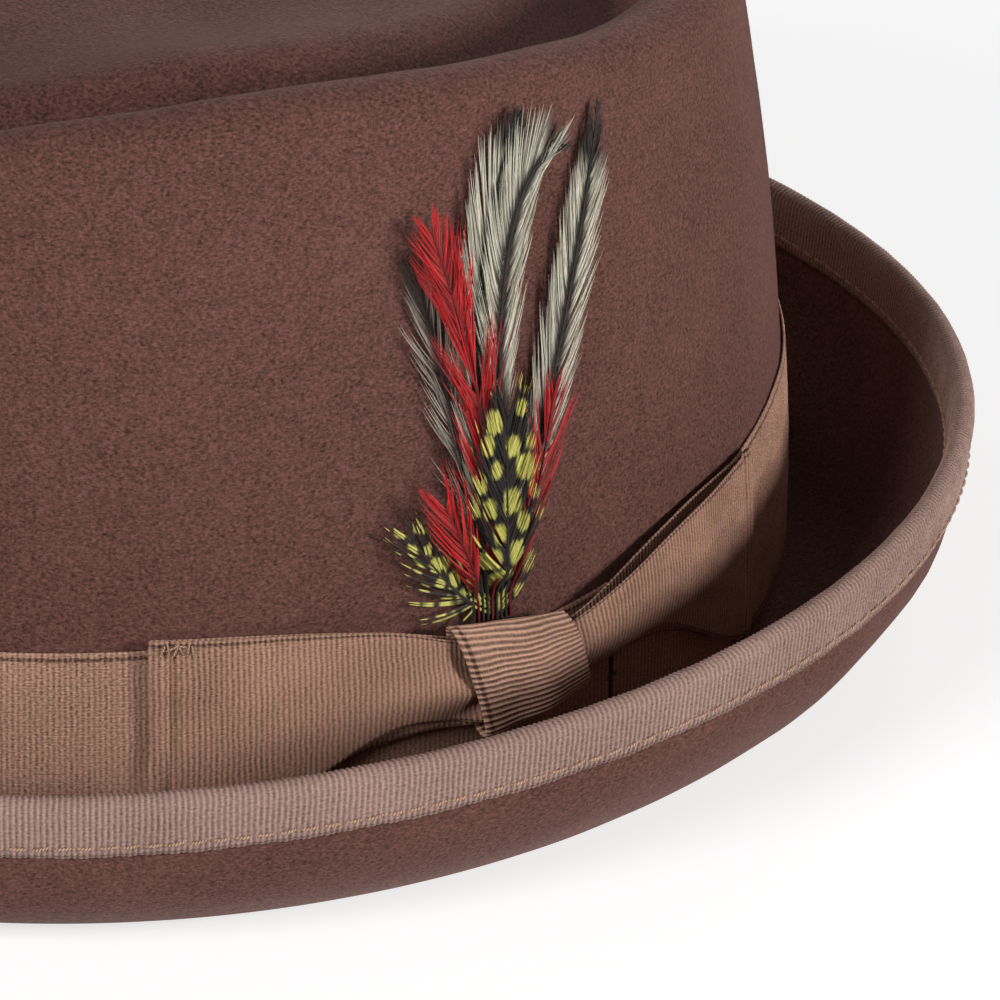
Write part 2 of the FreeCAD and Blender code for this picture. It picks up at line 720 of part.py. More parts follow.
def sweatband_thread():
    """The seam above the reed, on the face of the leather that the head touches."""
    offset, height = reed_centre()
    fold = offset - SWEAT_FOLD_OFFSET
    face = offset + fold - SWEAT_THICK / 2
    place_out = face - THREAD_RADIUS - GAP / 2
    return thread_ring(place_out, height + SWEAT_SEAM_RISE, THREAD_RADIUS, ring, "sweatband_thread")


def sweatband_bow():
    """A small flat bow over the join of the leather, at the back."""
    height = SWEAT_FOLD_HEIGHT + SWEAT_SEAM_RISE + 5.6
    offset = -8.1

    def loop(direction):
        net = []
        for i in range(7):
            share = i / 6
            half = SWEAT_BOW_WIDTH / 2 * (0.45 + 0.55 * share)
            angle = 180.0 + direction * (1.2 + (SWEAT_BOW_HALF - 1.2) * share)
            net.append([place(angle, offset, height + half * side) for side in (-1, -0.33, 0.33, 1)])
        return thick_sheet(net, SWEAT_BOW_THICK, "sweatband_bow")

    knot = [
        [place(180.0 + a, offset, height + side * SWEAT_BOW_WIDTH * 0.4) for side in (-1, -0.33, 0.33, 1)]
        for a in (-1.0, -0.4, 0.4, 1.0)
    ]
    return Part.makeCompound([loop(1), loop(-1), thick_sheet(knot, 2.4 * SWEAT_BOW_THICK, "sweatband_bow")])


# ---- Lining ------------------------------------------------------------------------------------------
def lining_offset(height):
    """Middle of the lining's side."""
    return wall_offset(height) - FELT - LINING_STANDOFF - LINING_THICK / 2


def lining_side():
    top = LINING_TOP - LINING_CORD_RADIUS - GAP
    heights = [LINING_FOOT + (top - LINING_FOOT) * i / 8 for i in range(9)]
    outer = [(lining_offset(h) + LINING_THICK / 2, h) for h in heights]
    inner = [(lining_offset(h) - LINING_THICK / 2, h) for h in heights]
    sides = [outer, [outer[-1], inner[-1]], inner, [inner[0], outer[0]]]
    return solid_from([skin([ring(*p) for p in side], True) for side in sides], "lining_side")


def cord_offset():
    return lining_offset(LINING_TOP) - LINING_CORD_RADIUS


def lining_cord():
    return thread_ring(cord_offset(), LINING_TOP, LINING_CORD_RADIUS, ring, "lining_cord")


def lining_tip():
    offset = cord_offset() - LINING_CORD_RADIUS - GAP
    low = ring(offset, LINING_TOP - LINING_THICK / 2)
    high = ring(offset, LINING_TOP + LINING_THICK / 2)
    return solid_from([flat_face(low), flat_face(high), skin([low, high], True)], "lining_tip")


# ---- All the pieces ----------------------------------------------------------------------------------
def pieces():
    yield from felt_pieces()
    yield "brim_binding", brim_binding()
    yield "binding_thread", binding_thread()
    yield "hatband", hatband()
    yield "hatband_stitches", hatband_stitches()
    yield "bow_front_loop", bow_loop(FRONT_LOOP, -1, "bow_front_loop")
    yield "bow_rear_loop", bow_loop(REAR_LOOP, 1, "bow_rear_loop")
    yield "bow_knot", bow_knot()
    yield "bow_tacks", bow_tacks()
    yield "bow_end_stitches", loop_end_stitches(FRONT_LOOP, -1)
    yield "feather_stem", feather_stem()
    yield "feather_wrap", feather_wrap()
    for index, name in enumerate(FEATHERS):
        yield name, feather(index, name)
    yield "sweatband", sweatband()
    yield "sweatband_reed", sweatband_reed()
    yield "sweatband_thread", sweatband_thread()
    yield "sweatband_bow", sweatband_bow()
    yield "lining_side", lining_side()
    yield "lining_cord", lining_cord()
    yield "lining_tip", lining_tip()


os.makedirs(OUT, exist_ok=True)
for node, shape in pieces():
    if not shape.isValid():
        raise ValueError(f"{node} isn't valid")
    shape.exportStep(os.path.join(OUT, node + ".step"))
    box = shape.BoundBox
    print(f"{node}: volume {shape.Volume:.1f}, x {box.XMin:.1f} to {box.XMax:.1f}, "
          f"y {box.YMin:.1f} to {box.YMax:.1f}, z {box.ZMin:.1f} to {box.ZMax:.1f}")
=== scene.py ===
import bpy
import math
import numpy as np
from mathutils import Matrix


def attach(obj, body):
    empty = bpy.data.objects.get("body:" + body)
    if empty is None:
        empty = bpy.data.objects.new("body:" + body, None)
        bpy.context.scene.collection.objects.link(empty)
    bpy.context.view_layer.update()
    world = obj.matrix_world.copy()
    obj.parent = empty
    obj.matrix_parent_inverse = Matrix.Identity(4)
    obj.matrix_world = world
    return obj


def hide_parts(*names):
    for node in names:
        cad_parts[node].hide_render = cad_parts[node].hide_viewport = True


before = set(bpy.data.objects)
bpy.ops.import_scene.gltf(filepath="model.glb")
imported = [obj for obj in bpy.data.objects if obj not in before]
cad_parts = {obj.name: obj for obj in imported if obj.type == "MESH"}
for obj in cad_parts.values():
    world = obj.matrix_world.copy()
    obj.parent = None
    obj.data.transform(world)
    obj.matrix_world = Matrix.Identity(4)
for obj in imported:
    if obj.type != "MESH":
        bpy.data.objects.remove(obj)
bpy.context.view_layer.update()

MM = 0.001
TAU = 2 * math.pi

# ---- Sizes, in mm, as in the part's source ---------------------------------------------------------
HALF_L, HALF_W, HEIGHT, FELT = 103.0, 90.7, 110.3, 2.0
RIDGE_SWEEP, RIM_SWEEP, REACH_SWEEP = (2.9, -4.6, -3.6), (-2.4, -2.1, 0.7), (-0.8, -3.0, 0.8)
SWEEP_FOOT = 55.0
WALL_FOOT, WALL_LEAN, WALL_RISE, WALL_POWER = 16.0, 8.3, 80.0, 1.5
BREAK_R, RIDGE_R, TROUGH_DEPTH, TROUGH_R = 2.5, 5.2, 14.5, 5.0
TIP_DROP, TIP_SLOPE, TIP_EDGE_R = 4.5, 36.0, 7.0
RIDGE_BANK = 78.0                                          # degrees, from the ridge down to the trough
BRIM_FLAT, CURL_R, CURL_ANGLE, BRIM_LIP = 2.5, 21.1, 83.3, 10.3
BIND_THICK, BIND_LEG, SEAM_RISE, GAP = 0.6, 7.8, 1.8, 0.1
BAND_THICK, BAND_WIDTH, BAND_FOOT = 0.6, 33.0, 5.2
BAND_FACE = GAP + BAND_THICK
BAND_JOIN, BAND_JOIN_GAP = 97.0, 0.6
BAND_DIP, BAND_DIP_ANGLE, BAND_DIP_FRONT, BAND_DIP_REAR = 7.8, 86.0, 26.0, 46.0
BOW_ANGLE, BOW_THICK, KNOT_SPAN, KNOT_SHIFT, KNOT_LEAN = 84.5, 0.5, 10.6, 0.5, 1.2
KNOT_LOW, KNOT_LOW_RISE, KNOT_HIGH, KNOT_HIGH_RISE = 19.2, 2.4, 35.0, -3.6
KNOT_MIDDLE, KNOT_FRONT, POCKET = (KNOT_LOW + KNOT_HIGH) / 2, 6.8, 2.2
FEATHER_ANGLE, STEM_LIFT, STEM_HIGH, STEM_LOW = 83.5, 1.8, 33.4, 17.0
FEATHER_LEAN, STEM_SLOPE = 3.0, 0.055
NARROW_RIBBON = 19.0                                       # width of the binding's and the knot's ribbon
BAND_PITCH, KNOT_PITCH, BIND_PITCH = 0.83, 0.86, 0.85      # from one rib of the ribbon to the next
PER_RIB = 4                                                # rows of points to each rib
BIND_STITCH, SWEAT_STITCH = 3.15, 3.0                      # from one stitch to the next
ROUND = np.linspace(0, 360, 2001)                          # degrees, for measuring along the oval


# ---- The oval ---------------------------------------------------------------------------------------
def sweep(swings, angle):
    t = np.radians(angle)
    return sum(a * np.cos((i + 1) * t) for i, a in enumerate(swings))


def place(angle, offset, height):
    """Points in mm at angles in degrees round the oval, offset outwards and raised."""
    angle, offset, height = np.broadcast_arrays(angle, offset, height)
    t = np.radians(angle)
    nx, ny = HALF_L * np.sin(t), -HALF_W * np.cos(t)
    n = np.hypot(nx, ny)
    x = HALF_W * np.sin(t) + offset * nx / n
    y = -HALF_L * np.cos(t) + offset * ny / n
    return np.stack([x, y, height + 0.0 * x], -1)


def wall(height):
    rise = np.maximum(0.0, (np.asarray(height, float) - WALL_FOOT) / WALL_RISE)
    return -WALL_LEAN * rise ** WALL_POWER


def on_band(angle, standoff, height):
    return place(angle, wall(height) + BAND_FACE + standoff, height)


def arc_length(points):
    """Length along the first axis of a row of points."""
    steps = np.linalg.norm(np.diff(points, axis=0), axis=-1)
    return np.concatenate([[0.0], np.cumsum(steps)])


def unit(vectors):
    return vectors / np.linalg.norm(vectors, axis=-1, keepdims=True)


def basis(count, samples, degree=3):
    """Clamped uniform B-spline weights: samples by count."""
    knots = np.concatenate([np.zeros(degree), np.arange(count - degree + 1), np.full(degree, count - degree)])
    u = np.clip(np.asarray(samples) * (count - degree), 0, count - degree - 1e-9)
    w = np.zeros((len(u), len(knots) - 1))
    for i in range(len(knots) - 1):
        w[:, i] = (knots[i] <= u) & (u < knots[i + 1])
    for d in range(1, degree + 1):
        new = np.zeros((len(u), len(knots) - 1 - d))
        for i in range(len(knots) - 1 - d):
            a, b = knots[i + d] - knots[i], knots[i + d + 1] - knots[i + 1]
            if a > 0:
                new[:, i] += (u - knots[i]) / a * w[:, i]
            if b > 0:
                new[:, i] += (knots[i + d + 1] - u) / b * w[:, i + 1]
        w = new
    return w[:, :count]


def wobble(points, size, seed, waves=7):
    """Smooth, repeatable noise of about -1 to 1 over points, with the given wavelength."""
    rng = np.random.default_rng(seed)
    total = np.zeros(points.shape[:-1])
    for _ in range(waves):
        direction = rng.normal(size=3)
        direction /= np.linalg.norm(direction)
        k = TAU / (size * rng.uniform(0.7, 1.4))
        total += np.sin(points @ direction * k + rng.uniform(0, TAU))
    return total / math.sqrt(waves) / 1.2


# ---- Sections -----------------------------------------------------------------------------------------
class Path:
    """A section's line, as offset, height and heading in degrees at each point."""

    def __init__(self, offset, height, heading):
        self.p = [(offset, height, heading)]

    def run(self, length, pieces=2):
        o, h, d = self.p[-1]
        a = math.radians(d)
        for i in range(1, pieces + 1):
            self.p.append((o + length * i / pieces * math.cos(a), h + length * i / pieces * math.sin(a), d))
        return self

    def turn(self, radius, angle):
        o, h, d = self.p[-1]
        side = math.copysign(90.0, angle)
        a = math.radians(d + side)
        c = (o + radius * math.cos(a), h + radius * math.sin(a))
        pieces = max(2, math.ceil(abs(angle) / 11.0))
        for i in range(1, pieces + 1):
            now = d + angle * i / pieces
            a = math.radians(now - side)
            self.p.append((c[0] + radius * math.cos(a), c[1] + radius * math.sin(a), now))
        return self

    def beside(self, distance):
        out = []
        for o, h, d in self.p:
            a = math.radians(d + 90.0)
            out.append((o + distance * math.cos(a), h + distance * math.sin(a)))
        return out


def crown_path():
    path = Path(BREAK_R - FELT / 2, FELT / 2, 180.0).turn(BREAK_R, -90.0)
    top, foot = HEIGHT - FELT / 2 - RIDGE_R, path.p[-1][1]
    for i in range(1, 13):
        h = foot + (top - foot) * i / 12
        slope = WALL_LEAN * WALL_POWER / WALL_RISE * max(0.0, (h - WALL_FOOT) / WALL_RISE) ** (WALL_POWER - 1)
        path.p.append((float(wall(h)) - FELT / 2, h, 90.0 + math.degrees(math.atan(slope))))
    first = len(path.p) - 1
    bank, tip_bank = math.radians(RIDGE_BANK), math.radians(TIP_SLOPE)
    path.turn(RIDGE_R, 180.0 - path.p[-1][2]).turn(RIDGE_R, RIDGE_BANK)
    path.run((TROUGH_DEPTH - (RIDGE_R + TROUGH_R) * (1 - math.cos(bank))) / math.sin(bank))
    path.turn(TROUGH_R, -RIDGE_BANK - TIP_SLOPE)
    risen = (TROUGH_R + TIP_EDGE_R) * (1 - math.cos(tip_bank))
    path.run((TROUGH_DEPTH - TIP_DROP - risen) / math.sin(tip_bank)).turn(TIP_EDGE_R, TIP_SLOPE)
    return path, first


def brim_path():
    return Path(BREAK_R - FELT / 2, FELT / 2, 0.0).run(BRIM_FLAT, 3).turn(CURL_R, CURL_ANGLE).run(BRIM_LIP, 4)


LIP = brim_path().p[-1]


def lip_round(radius, pieces=4):
    turns = [math.radians(LIP[2] + 90.0 - 180.0 * i / pieces) for i in range(pieces + 1)]
    return [(LIP[0] + radius * math.cos(a), LIP[1] + radius * math.sin(a)) for a in turns]


def on_lip(down, out):
    a = math.radians(LIP[2])
    return LIP[0] - down * math.cos(a) + out * math.sin(a), LIP[1] - down * math.sin(a) - out * math.cos(a)


def rows(entries, angles):
    """Curves round the oval from entries (offset, height, ridge share, rim share, scale)."""
    out = []
    for offset, height, ridge, rim, scale in entries:
        o = offset + rim * sweep(REACH_SWEEP, angles)
        h = height + ridge * sweep(RIDGE_SWEEP, angles) + rim * sweep(RIM_SWEEP, angles)
        p = place(angles, o, h)
        p[..., :2] *= scale
        out.append(p)
    return np.array(out)


# ---- Meshes -------------------------------------------------------------------------------------------
def mesh_from(name, verts_mm, quads, attributes=None, tris=()):
    mesh = bpy.data.meshes.new(name)
    verts = np.ascontiguousarray(verts_mm, np.float32) * MM
    loops = np.concatenate([np.asarray(faces, np.int32).ravel() for faces in (quads, tris)])
    sizes = np.concatenate([np.full(len(quads), 4), np.full(len(tris), 3)])
    mesh.vertices.add(len(verts))
    mesh.vertices.foreach_set("co", verts.ravel())
    mesh.loops.add(len(loops))
    mesh.loops.foreach_set("vertex_index", loops.astype(np.int32))
    mesh.polygons.add(len(sizes))
    starts = np.concatenate([[0], np.cumsum(sizes)[:-1]]).astype(np.int32)
    mesh.polygons.foreach_set("loop_start", starts)
    mesh.polygons.foreach_set("loop_total", sizes.astype(np.int32))
    mesh.update(calc_edges=True)
    mesh.validate()
    mesh.polygons.foreach_set("use_smooth", np.ones(len(sizes), bool))
    for key, value in (attributes or {}).items():
        value = np.asarray(value, np.float32)
        kind = "FLOAT" if value.ndim == 1 else "FLOAT_VECTOR"
        layer = mesh.attributes.new(key, kind, "POINT")
        layer.data.foreach_set("value" if kind == "FLOAT" else "vector", value.ravel())
    obj = bpy.data.objects.new(name, mesh)
    bpy.context.scene.collection.objects.link(obj)
    return obj


def grid_quads(n, m, closed_n=False, closed_m=False, flip=False):
    i = np.arange(n if closed_n else n - 1)[:, None]
    j = np.arange(m if closed_m else m - 1)[None, :]
    a = i * m + j
    b = i * m + (j + 1) % m
    c = ((i + 1) % n) * m + (j + 1) % m
    d = ((i + 1) % n) * m + j
    q = np.stack([a, b, c, d], -1).reshape(-1, 4)
    return q[:, ::-1] if flip else q


def domed(name, grid, first, last, turn=1):
    """A skin round the rows of a grid, closed to a point before its first row and after its last."""
    n, m = grid.shape[:2]
    verts = np.concatenate([grid.reshape(-1, 3), [first, last]])
    k = np.arange(m)
    fans = np.concatenate([np.stack([np.full(m, n * m), k, (k + 1) % m], -1),
                           np.stack([np.full(m, n * m + 1), (n - 1) * m + (k + 1) % m, (n - 1) * m + k], -1)])
    return mesh_from(name, verts, grid_quads(n, m, closed_m=True, flip=True), tris=fans[:, ::turn])


def weave(along, across):
    """Coordinates for a material, in mm along and across a strip or a thread."""
    return np.stack(np.broadcast_arrays(along[:, None], across[None, :], 0.0), -1)


def loft(name, rings, coords, closed=False, flip=False):
    """A tube through rings of points (along, around), closed around, and capped unless closed along."""
    n, m = rings.shape[:2]
    quads = grid_quads(n, m, closed_n=closed, closed_m=True, flip=flip)
    if not closed:
        k = np.arange(m // 2 - 1)
        cap = np.stack([k, k + 1, m - 2 - k, m - 1 - k], -1)
        turn = 1 if flip else -1
        quads = np.concatenate([quads, cap[:, ::turn], cap[:, ::-turn] + (n - 1) * m])
    return mesh_from(name, rings.reshape(-1, 3), quads, {"weave": coords.reshape(-1, 3)})


def normals_of(grid, closed_n=False, closed_m=False):
    def diff(axis, closed):
        if closed:
            return np.roll(grid, -1, axis) - np.roll(grid, 1, axis)
        return np.gradient(grid, axis=axis)

    n = np.cross(diff(0, closed_n), diff(1, closed_m))
    return n / np.maximum(np.linalg.norm(n, axis=-1, keepdims=True), 1e-9)


def sheet(name, middle, thick, s, v, bumps=0.0, flip=False, closed=False):
    """A ribbon round a grid of middle points (along, across), with rounded selvedges.
    s and v are its coordinates in mm along and across, and bumps are displacements of both faces."""
    edge = np.ones(middle.shape[1])
    edge[[0, -1]] = 0.45
    reach = normals_of(middle, closed_n=closed) * (thick / 2 * edge + bumps)[..., None]
    rings = np.concatenate([middle + reach, (middle - reach)[:, ::-1]], axis=1)
    coords = weave(s, v)
    return loft(name, rings, np.concatenate([coords, coords[:, ::-1]], axis=1), closed, flip)


def ribs_along(s, pitch, lift, across):
    """A ribbon's ribs, as displacements at distances s along it."""
    return lift * np.sin(s * TAU / pitch)[:, None] * np.ones(across)


def stitch_mesh(name, starts, ends, outs, radius, sides=6, bow=0.25):
    """Short rounded stitches from start to end, arched outwards."""
    starts, ends, outs = (np.asarray(a, float) for a in (starts, ends, outs))
    count = len(starts)
    length = np.linalg.norm(ends - starts, axis=1, keepdims=True)
    along = (ends - starts) / length
    side = unit(np.cross(outs, along))
    up = np.cross(along, side)
    stations = np.array([0.0, 0.06, 0.25, 0.5, 0.75, 0.94, 1.0])
    widths = np.array([0.15, 0.7, 1.0, 1.05, 1.0, 0.7, 0.15]) * radius
    arch = (np.sin(math.pi * stations) - 0.6) * bow
    a = np.arange(sides) / sides * TAU
    verts = np.zeros((count, len(stations), sides, 3))
    for k, (st, w, h) in enumerate(zip(stations, widths, arch)):
        centre = starts + along * length * st + up * h
        verts[:, k] = centre[:, None] + w * (np.cos(a)[None, :, None] * side[:, None]
                                             + np.sin(a)[None, :, None] * up[:, None])
    quads = grid_quads(len(stations), sides, closed_m=True)
    per = len(stations) * sides
    quads = (quads[None] + (np.arange(count) * per)[:, None, None]).reshape(-1, 4)
    twist = np.broadcast_to(stations[None, :, None] * length[:, :, None], (count, len(stations), sides))
    coords = np.stack([twist, np.broadcast_to(np.arange(sides) / sides, twist.shape), np.zeros_like(twist)], -1)
    return mesh_from(name, verts.reshape(-1, 3), quads, {"weave": coords.reshape(-1, 3)})


# ---- Materials ----------------------------------------------------------------------------------------
def srgb(r, g, b):
    """A colour given as 0 to 255 on a screen, as Blender wants it."""
    def one(c):
        c /= 255.0
        return c / 12.92 if c <= 0.04045 else ((c + 0.055) / 1.055) ** 2.4

    return (one(r), one(g), one(b), 1.0)


class Shader:
    """A material under construction: adds nodes and joins them."""

    def __init__(self, name, roughness, specular=0.3, sheen=0.0, sheen_tint=(1, 1, 1, 1), sheen_roughness=0.5):
        self.material = bpy.data.materials.new(name)
        self.material.use_nodes = True
        self.nodes = self.material.node_tree.nodes
        self.links = self.material.node_tree.links
        self.bsdf = self.nodes["Principled BSDF"]
        self.bsdf.inputs["Roughness"].default_value = roughness
        self.bsdf.inputs["Specular IOR Level"].default_value = specular
        self.bsdf.inputs["Sheen Weight"].default_value = sheen
        self.bsdf.inputs["Sheen Tint"].default_value = sheen_tint
        self.bsdf.inputs["Sheen Roughness"].default_value = sheen_roughness

    def node(self, kind, **values):
        n = self.nodes.new(kind)
        for key, value in values.items():
            setattr(n, key, value)
        return n

    def feed(self, socket, value):
        if isinstance(value, bpy.types.NodeSocket):
            self.links.new(value, socket)
        else:
            socket.default_value = value

    def position(self, scale=(1, 1, 1)):
        """Object position in mm, stretched by scale."""
        coords = self.node("ShaderNodeTexCoord")
        mapping = self.node("ShaderNodeMapping")
        mapping.inputs["Scale"].default_value = [1000.0 * s for s in scale]
        self.links.new(coords.outputs["Object"], mapping.inputs["Vector"])
        return mapping.outputs["Vector"]

    def attribute(self, name, output="Vector"):
        return self.node("ShaderNodeAttribute", attribute_name=name).outputs[output]

    def stretched(self, vector, scale):
        mapping = self.node("ShaderNodeMapping")
        mapping.inputs["Scale"].default_value = scale
        self.links.new(vector, mapping.inputs["Vector"])
        return mapping.outputs["Vector"]

    def noise(self, vector, scale, detail=2.0, rough=0.5):
        n = self.node("ShaderNodeTexNoise")
        n.inputs["Scale"].default_value = scale
        n.inputs["Detail"].default_value = detail
        n.inputs["Roughness"].default_value = rough
        self.links.new(vector, n.inputs["Vector"])
        return n.outputs["Fac"]

    def math(self, operation, a, b=0.0, clamp=False):
        n = self.node("ShaderNodeMath", operation=operation, use_clamp=clamp)
        self.feed(n.inputs[0], a)
        self.feed(n.inputs[1], b)
        return n.outputs[0]

    def add(self, a, b):
        return self.math("ADD", a, b)

    def times(self, a, b):
        return self.math("MULTIPLY", a, b)

    def swing(self, noise):
        """A noise's usual range, as -1 to 1."""
        return self.range(noise, 0.3, 0.7, -1, 1)

    def axis(self, vector, index):
        n = self.node("ShaderNodeSeparateXYZ")
        self.links.new(vector, n.inputs[0])
        return n.outputs[index]

    def range(self, value, low, high, to_low=0.0, to_high=1.0):
        n = self.node("ShaderNodeMapRange")
        self.feed(n.inputs["Value"], value)
        for key, v in (("From Min", low), ("From Max", high), ("To Min", to_low), ("To Max", to_high)):
            n.inputs[key].default_value = v
        return n.outputs["Result"]

    def mix(self, factor, a, b, blend="MIX"):
        n = self.node("ShaderNodeMix", data_type="RGBA", blend_type=blend)
        self.feed(n.inputs[0], factor)
        self.feed(n.inputs[6], a)
        self.feed(n.inputs[7], b)
        return n.outputs[2]

    def color(self, value):
        self.feed(self.bsdf.inputs["Base Color"], value)

    def bump(self, height, distance_mm, strength=1.0):
        n = self.node("ShaderNodeBump")
        n.inputs["Strength"].default_value = strength
        n.inputs["Distance"].default_value = distance_mm * MM
        self.links.new(height, n.inputs["Height"])
        self.links.new(n.outputs["Normal"], self.bsdf.inputs["Normal"])


def felt_material():
    s = Shader("wool_felt", 0.95, specular=0.12, sheen=0.22, sheen_tint=srgb(214, 184, 176),
               sheen_roughness=0.45)
    p = s.position()
    fine = s.noise(p, 1.8, 3.0, 0.7)
    flecks = s.noise(s.position((0.6, 0.6, 1.2)), 2.4, 2.0, 0.6)
    mottle = s.noise(p, 0.32, 3.0, 0.6)
    broad = s.noise(p, 0.035, 2.0, 0.5)
    tone = s.times(s.swing(fine), 0.5)
    tone = s.add(tone, s.times(s.swing(flecks), 0.45))
    fibre = s.math("POWER", s.range(s.noise(s.position((0.5, 0.5, 1.6)), 3.0, 1.0, 0.5), 0.45, 0.75), 1.5)
    tone = s.add(tone, s.times(fibre, 0.55))
    tone = s.add(tone, s.times(s.swing(mottle), 0.08))
    tone = s.add(tone, s.times(s.swing(broad), 0.12))
    factor = s.range(tone, -1.0, 1.2)
    s.color(s.mix(factor, srgb(32, 15, 12), srgb(138, 94, 85)))
    s.bump(s.add(fine, s.times(flecks, 0.7)), 0.22, 0.8)
    return s.material


def ribbon_material(name, shaded_groove, ridge, pitch, light, rib=0.5, thread=0.5):
    """Grosgrain: ribs across the ribbon, with painted shade in their grooves and painted light on their crests,
    small warp floats, and a darker line by each selvedge.
    """
    s = Shader(name, 0.74, specular=0.3, sheen=0.2, sheen_tint=srgb(*light), sheen_roughness=0.4)
    w = s.attribute("weave")
    along, across = s.axis(w, 0), s.axis(w, 1)
    wander = s.times(s.math("SUBTRACT", s.noise(w, 0.25, 2.0), 0.5), 0.55)
    phase = s.times(s.add(along, wander), TAU / pitch)
    ribs = s.range(s.math("SINE", phase), -1.0, 1.0)
    cells = s.noise(s.stretched(w, (1.1, 2.2, 1.0)), 1.5, 3.0, 0.75)
    floats = s.range(s.math("SINE", s.times(across, TAU / 0.42)), -1.0, 1.0)
    broad = s.noise(w, 0.06, 2.0)
    # The ribs and the warp floats make the colour darker in their grooves and lighter on their crests: painted
    # shade and painted light. The cells and the broad noise are the weave's own tone.
    tone = s.add(s.times(ribs, rib), s.times(s.range(cells, 0.36, 0.64), thread))
    tone = s.add(tone, s.times(floats, 0.08))
    tone = s.add(tone, s.times(s.swing(broad), 0.08))
    for edge in (1.0, BAND_WIDTH - 1.0):
        line = s.math("ABSOLUTE", s.math("SUBTRACT", across, edge))
        near = s.math("SUBTRACT", 1.0, s.math("DIVIDE", line, 0.5), True)
        tone = s.math("SUBTRACT", tone, s.times(near, 0.5))
    s.color(s.mix(s.range(tone, 0.0, 1.0), srgb(*shaded_groove), srgb(*ridge)))
    height = s.add(s.times(ribs, 2.0 * rib), s.times(cells, 0.6))
    s.bump(s.add(height, s.times(floats, 0.2)), 0.15, 0.75)
    return s.material


def thread_material(name, dark, light):
    s = Shader(name, 0.7, specular=0.3, sheen=0.1)
    w = s.attribute("weave")
    twist = s.add(s.times(s.axis(w, 0), TAU / 0.5), s.times(s.axis(w, 1), TAU * 2))
    # The twist's stripes make the colour darker between the plies and lighter on them: painted shade and
    # painted light. The noise is the thread's own tone.
    strand = s.math("SINE", twist)
    factor = s.add(s.range(strand, -1, 1), s.math("SUBTRACT", s.noise(s.position(), 2.0), 0.5))
    s.color(s.mix(s.range(factor, 0.0, 1.0), srgb(*dark), srgb(*light)))
    s.bump(strand, 0.05, 0.7)
    return s.material


def leather_material():
    s = Shader("sweatband_leather", 0.5, specular=0.4)
    p = s.position()
    pores = s.node("ShaderNodeTexVoronoi")
    pores.inputs["Scale"].default_value = 1.1
    s.links.new(p, pores.inputs["Vector"])
    grain = s.noise(p, 0.6, 4.0, 0.6)
    broad = s.noise(p, 0.05, 2.0)
    tone = s.add(s.times(grain, 0.6), s.times(broad, 0.4))
    s.color(s.mix(s.range(tone, 0.35, 0.65), srgb(88, 54, 38), srgb(122, 80, 58)))
    s.bump(s.add(pores.outputs["Distance"], s.times(grain, 0.5)), 0.12, 0.5)
    return s.material


def satin_material(name, dark, light):
    s = Shader(name, 0.34, specular=0.45, sheen=0.15)
    w = s.position((1.0, 1.0, 0.25))
    thread = s.noise(w, 2.6, 2.0, 0.6)
    broad = s.noise(s.position(), 0.05, 3.0)
    tone = s.add(s.times(thread, 0.4), s.times(broad, 0.6))
    s.color(s.mix(s.range(tone, 0.35, 0.65), srgb(*dark), srgb(*light)))
    s.bump(thread, 0.05, 0.4)
    return s.material


def feather_material(name, roughness=0.62, sheen=0.1):
    """Takes each barb's colour from the mesh, with fine streaks along it."""
    s = Shader(name, roughness, specular=0.3, sheen=sheen)
    tint = s.attribute("tint", "Color")
    streak = s.noise(s.position((2.0, 2.0, 0.5)), 1.8, 2.0, 0.6)
    shade = s.range(streak, 0.3, 0.7, 0.78, 1.12)
    grey = s.node("ShaderNodeCombineColor")
    for i in range(3):
        s.links.new(shade, grey.inputs[i])
    s.color(s.mix(1.0, tint, grey.outputs[0], "MULTIPLY"))
    s.bump(streak, 0.06, 0.5)
    return s.material


def dress(obj, material, body, slot, *nodes):
    obj.data.materials.append(material)
    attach(obj, body)
    if nodes:
        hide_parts(*nodes)
    return obj


BAND_LIGHT = (214, 176, 156)
# Each ribbon's first colour is the painted shade in its rib grooves, and its second the lighter crests, which
# carry painted light.
band_ribbon = ribbon_material("band_grosgrain", (72, 46, 36), (224, 174, 148), BAND_PITCH,
                              BAND_LIGHT, 0.3, 0.62)
bow_ribbon = ribbon_material("bow_grosgrain", (70, 45, 35), (218, 168, 142), BAND_PITCH,
                             BAND_LIGHT, 0.42, 0.5)
knot_ribbon = ribbon_material("knot_grosgrain", (66, 42, 33), (228, 178, 152), KNOT_PITCH,
                              BAND_LIGHT, 0.7, 0.3)
binding_ribbon = ribbon_material("binding_grosgrain", (104, 78, 70), (198, 164, 151), BIND_PITCH,
                                 (214, 188, 178), 0.45, 0.5)
felt = felt_material()
# Each thread's first colour is the painted shade between its plies, and its second the plies' lighter colour,
# which carries painted light.
seam_thread = thread_material("seam_thread", (138, 104, 84), (214, 176, 146))
tack_thread = thread_material("tack_thread", (70, 48, 40), (128, 96, 80))
stem_thread = thread_material("stem_thread", (18, 14, 12), (48, 38, 34))


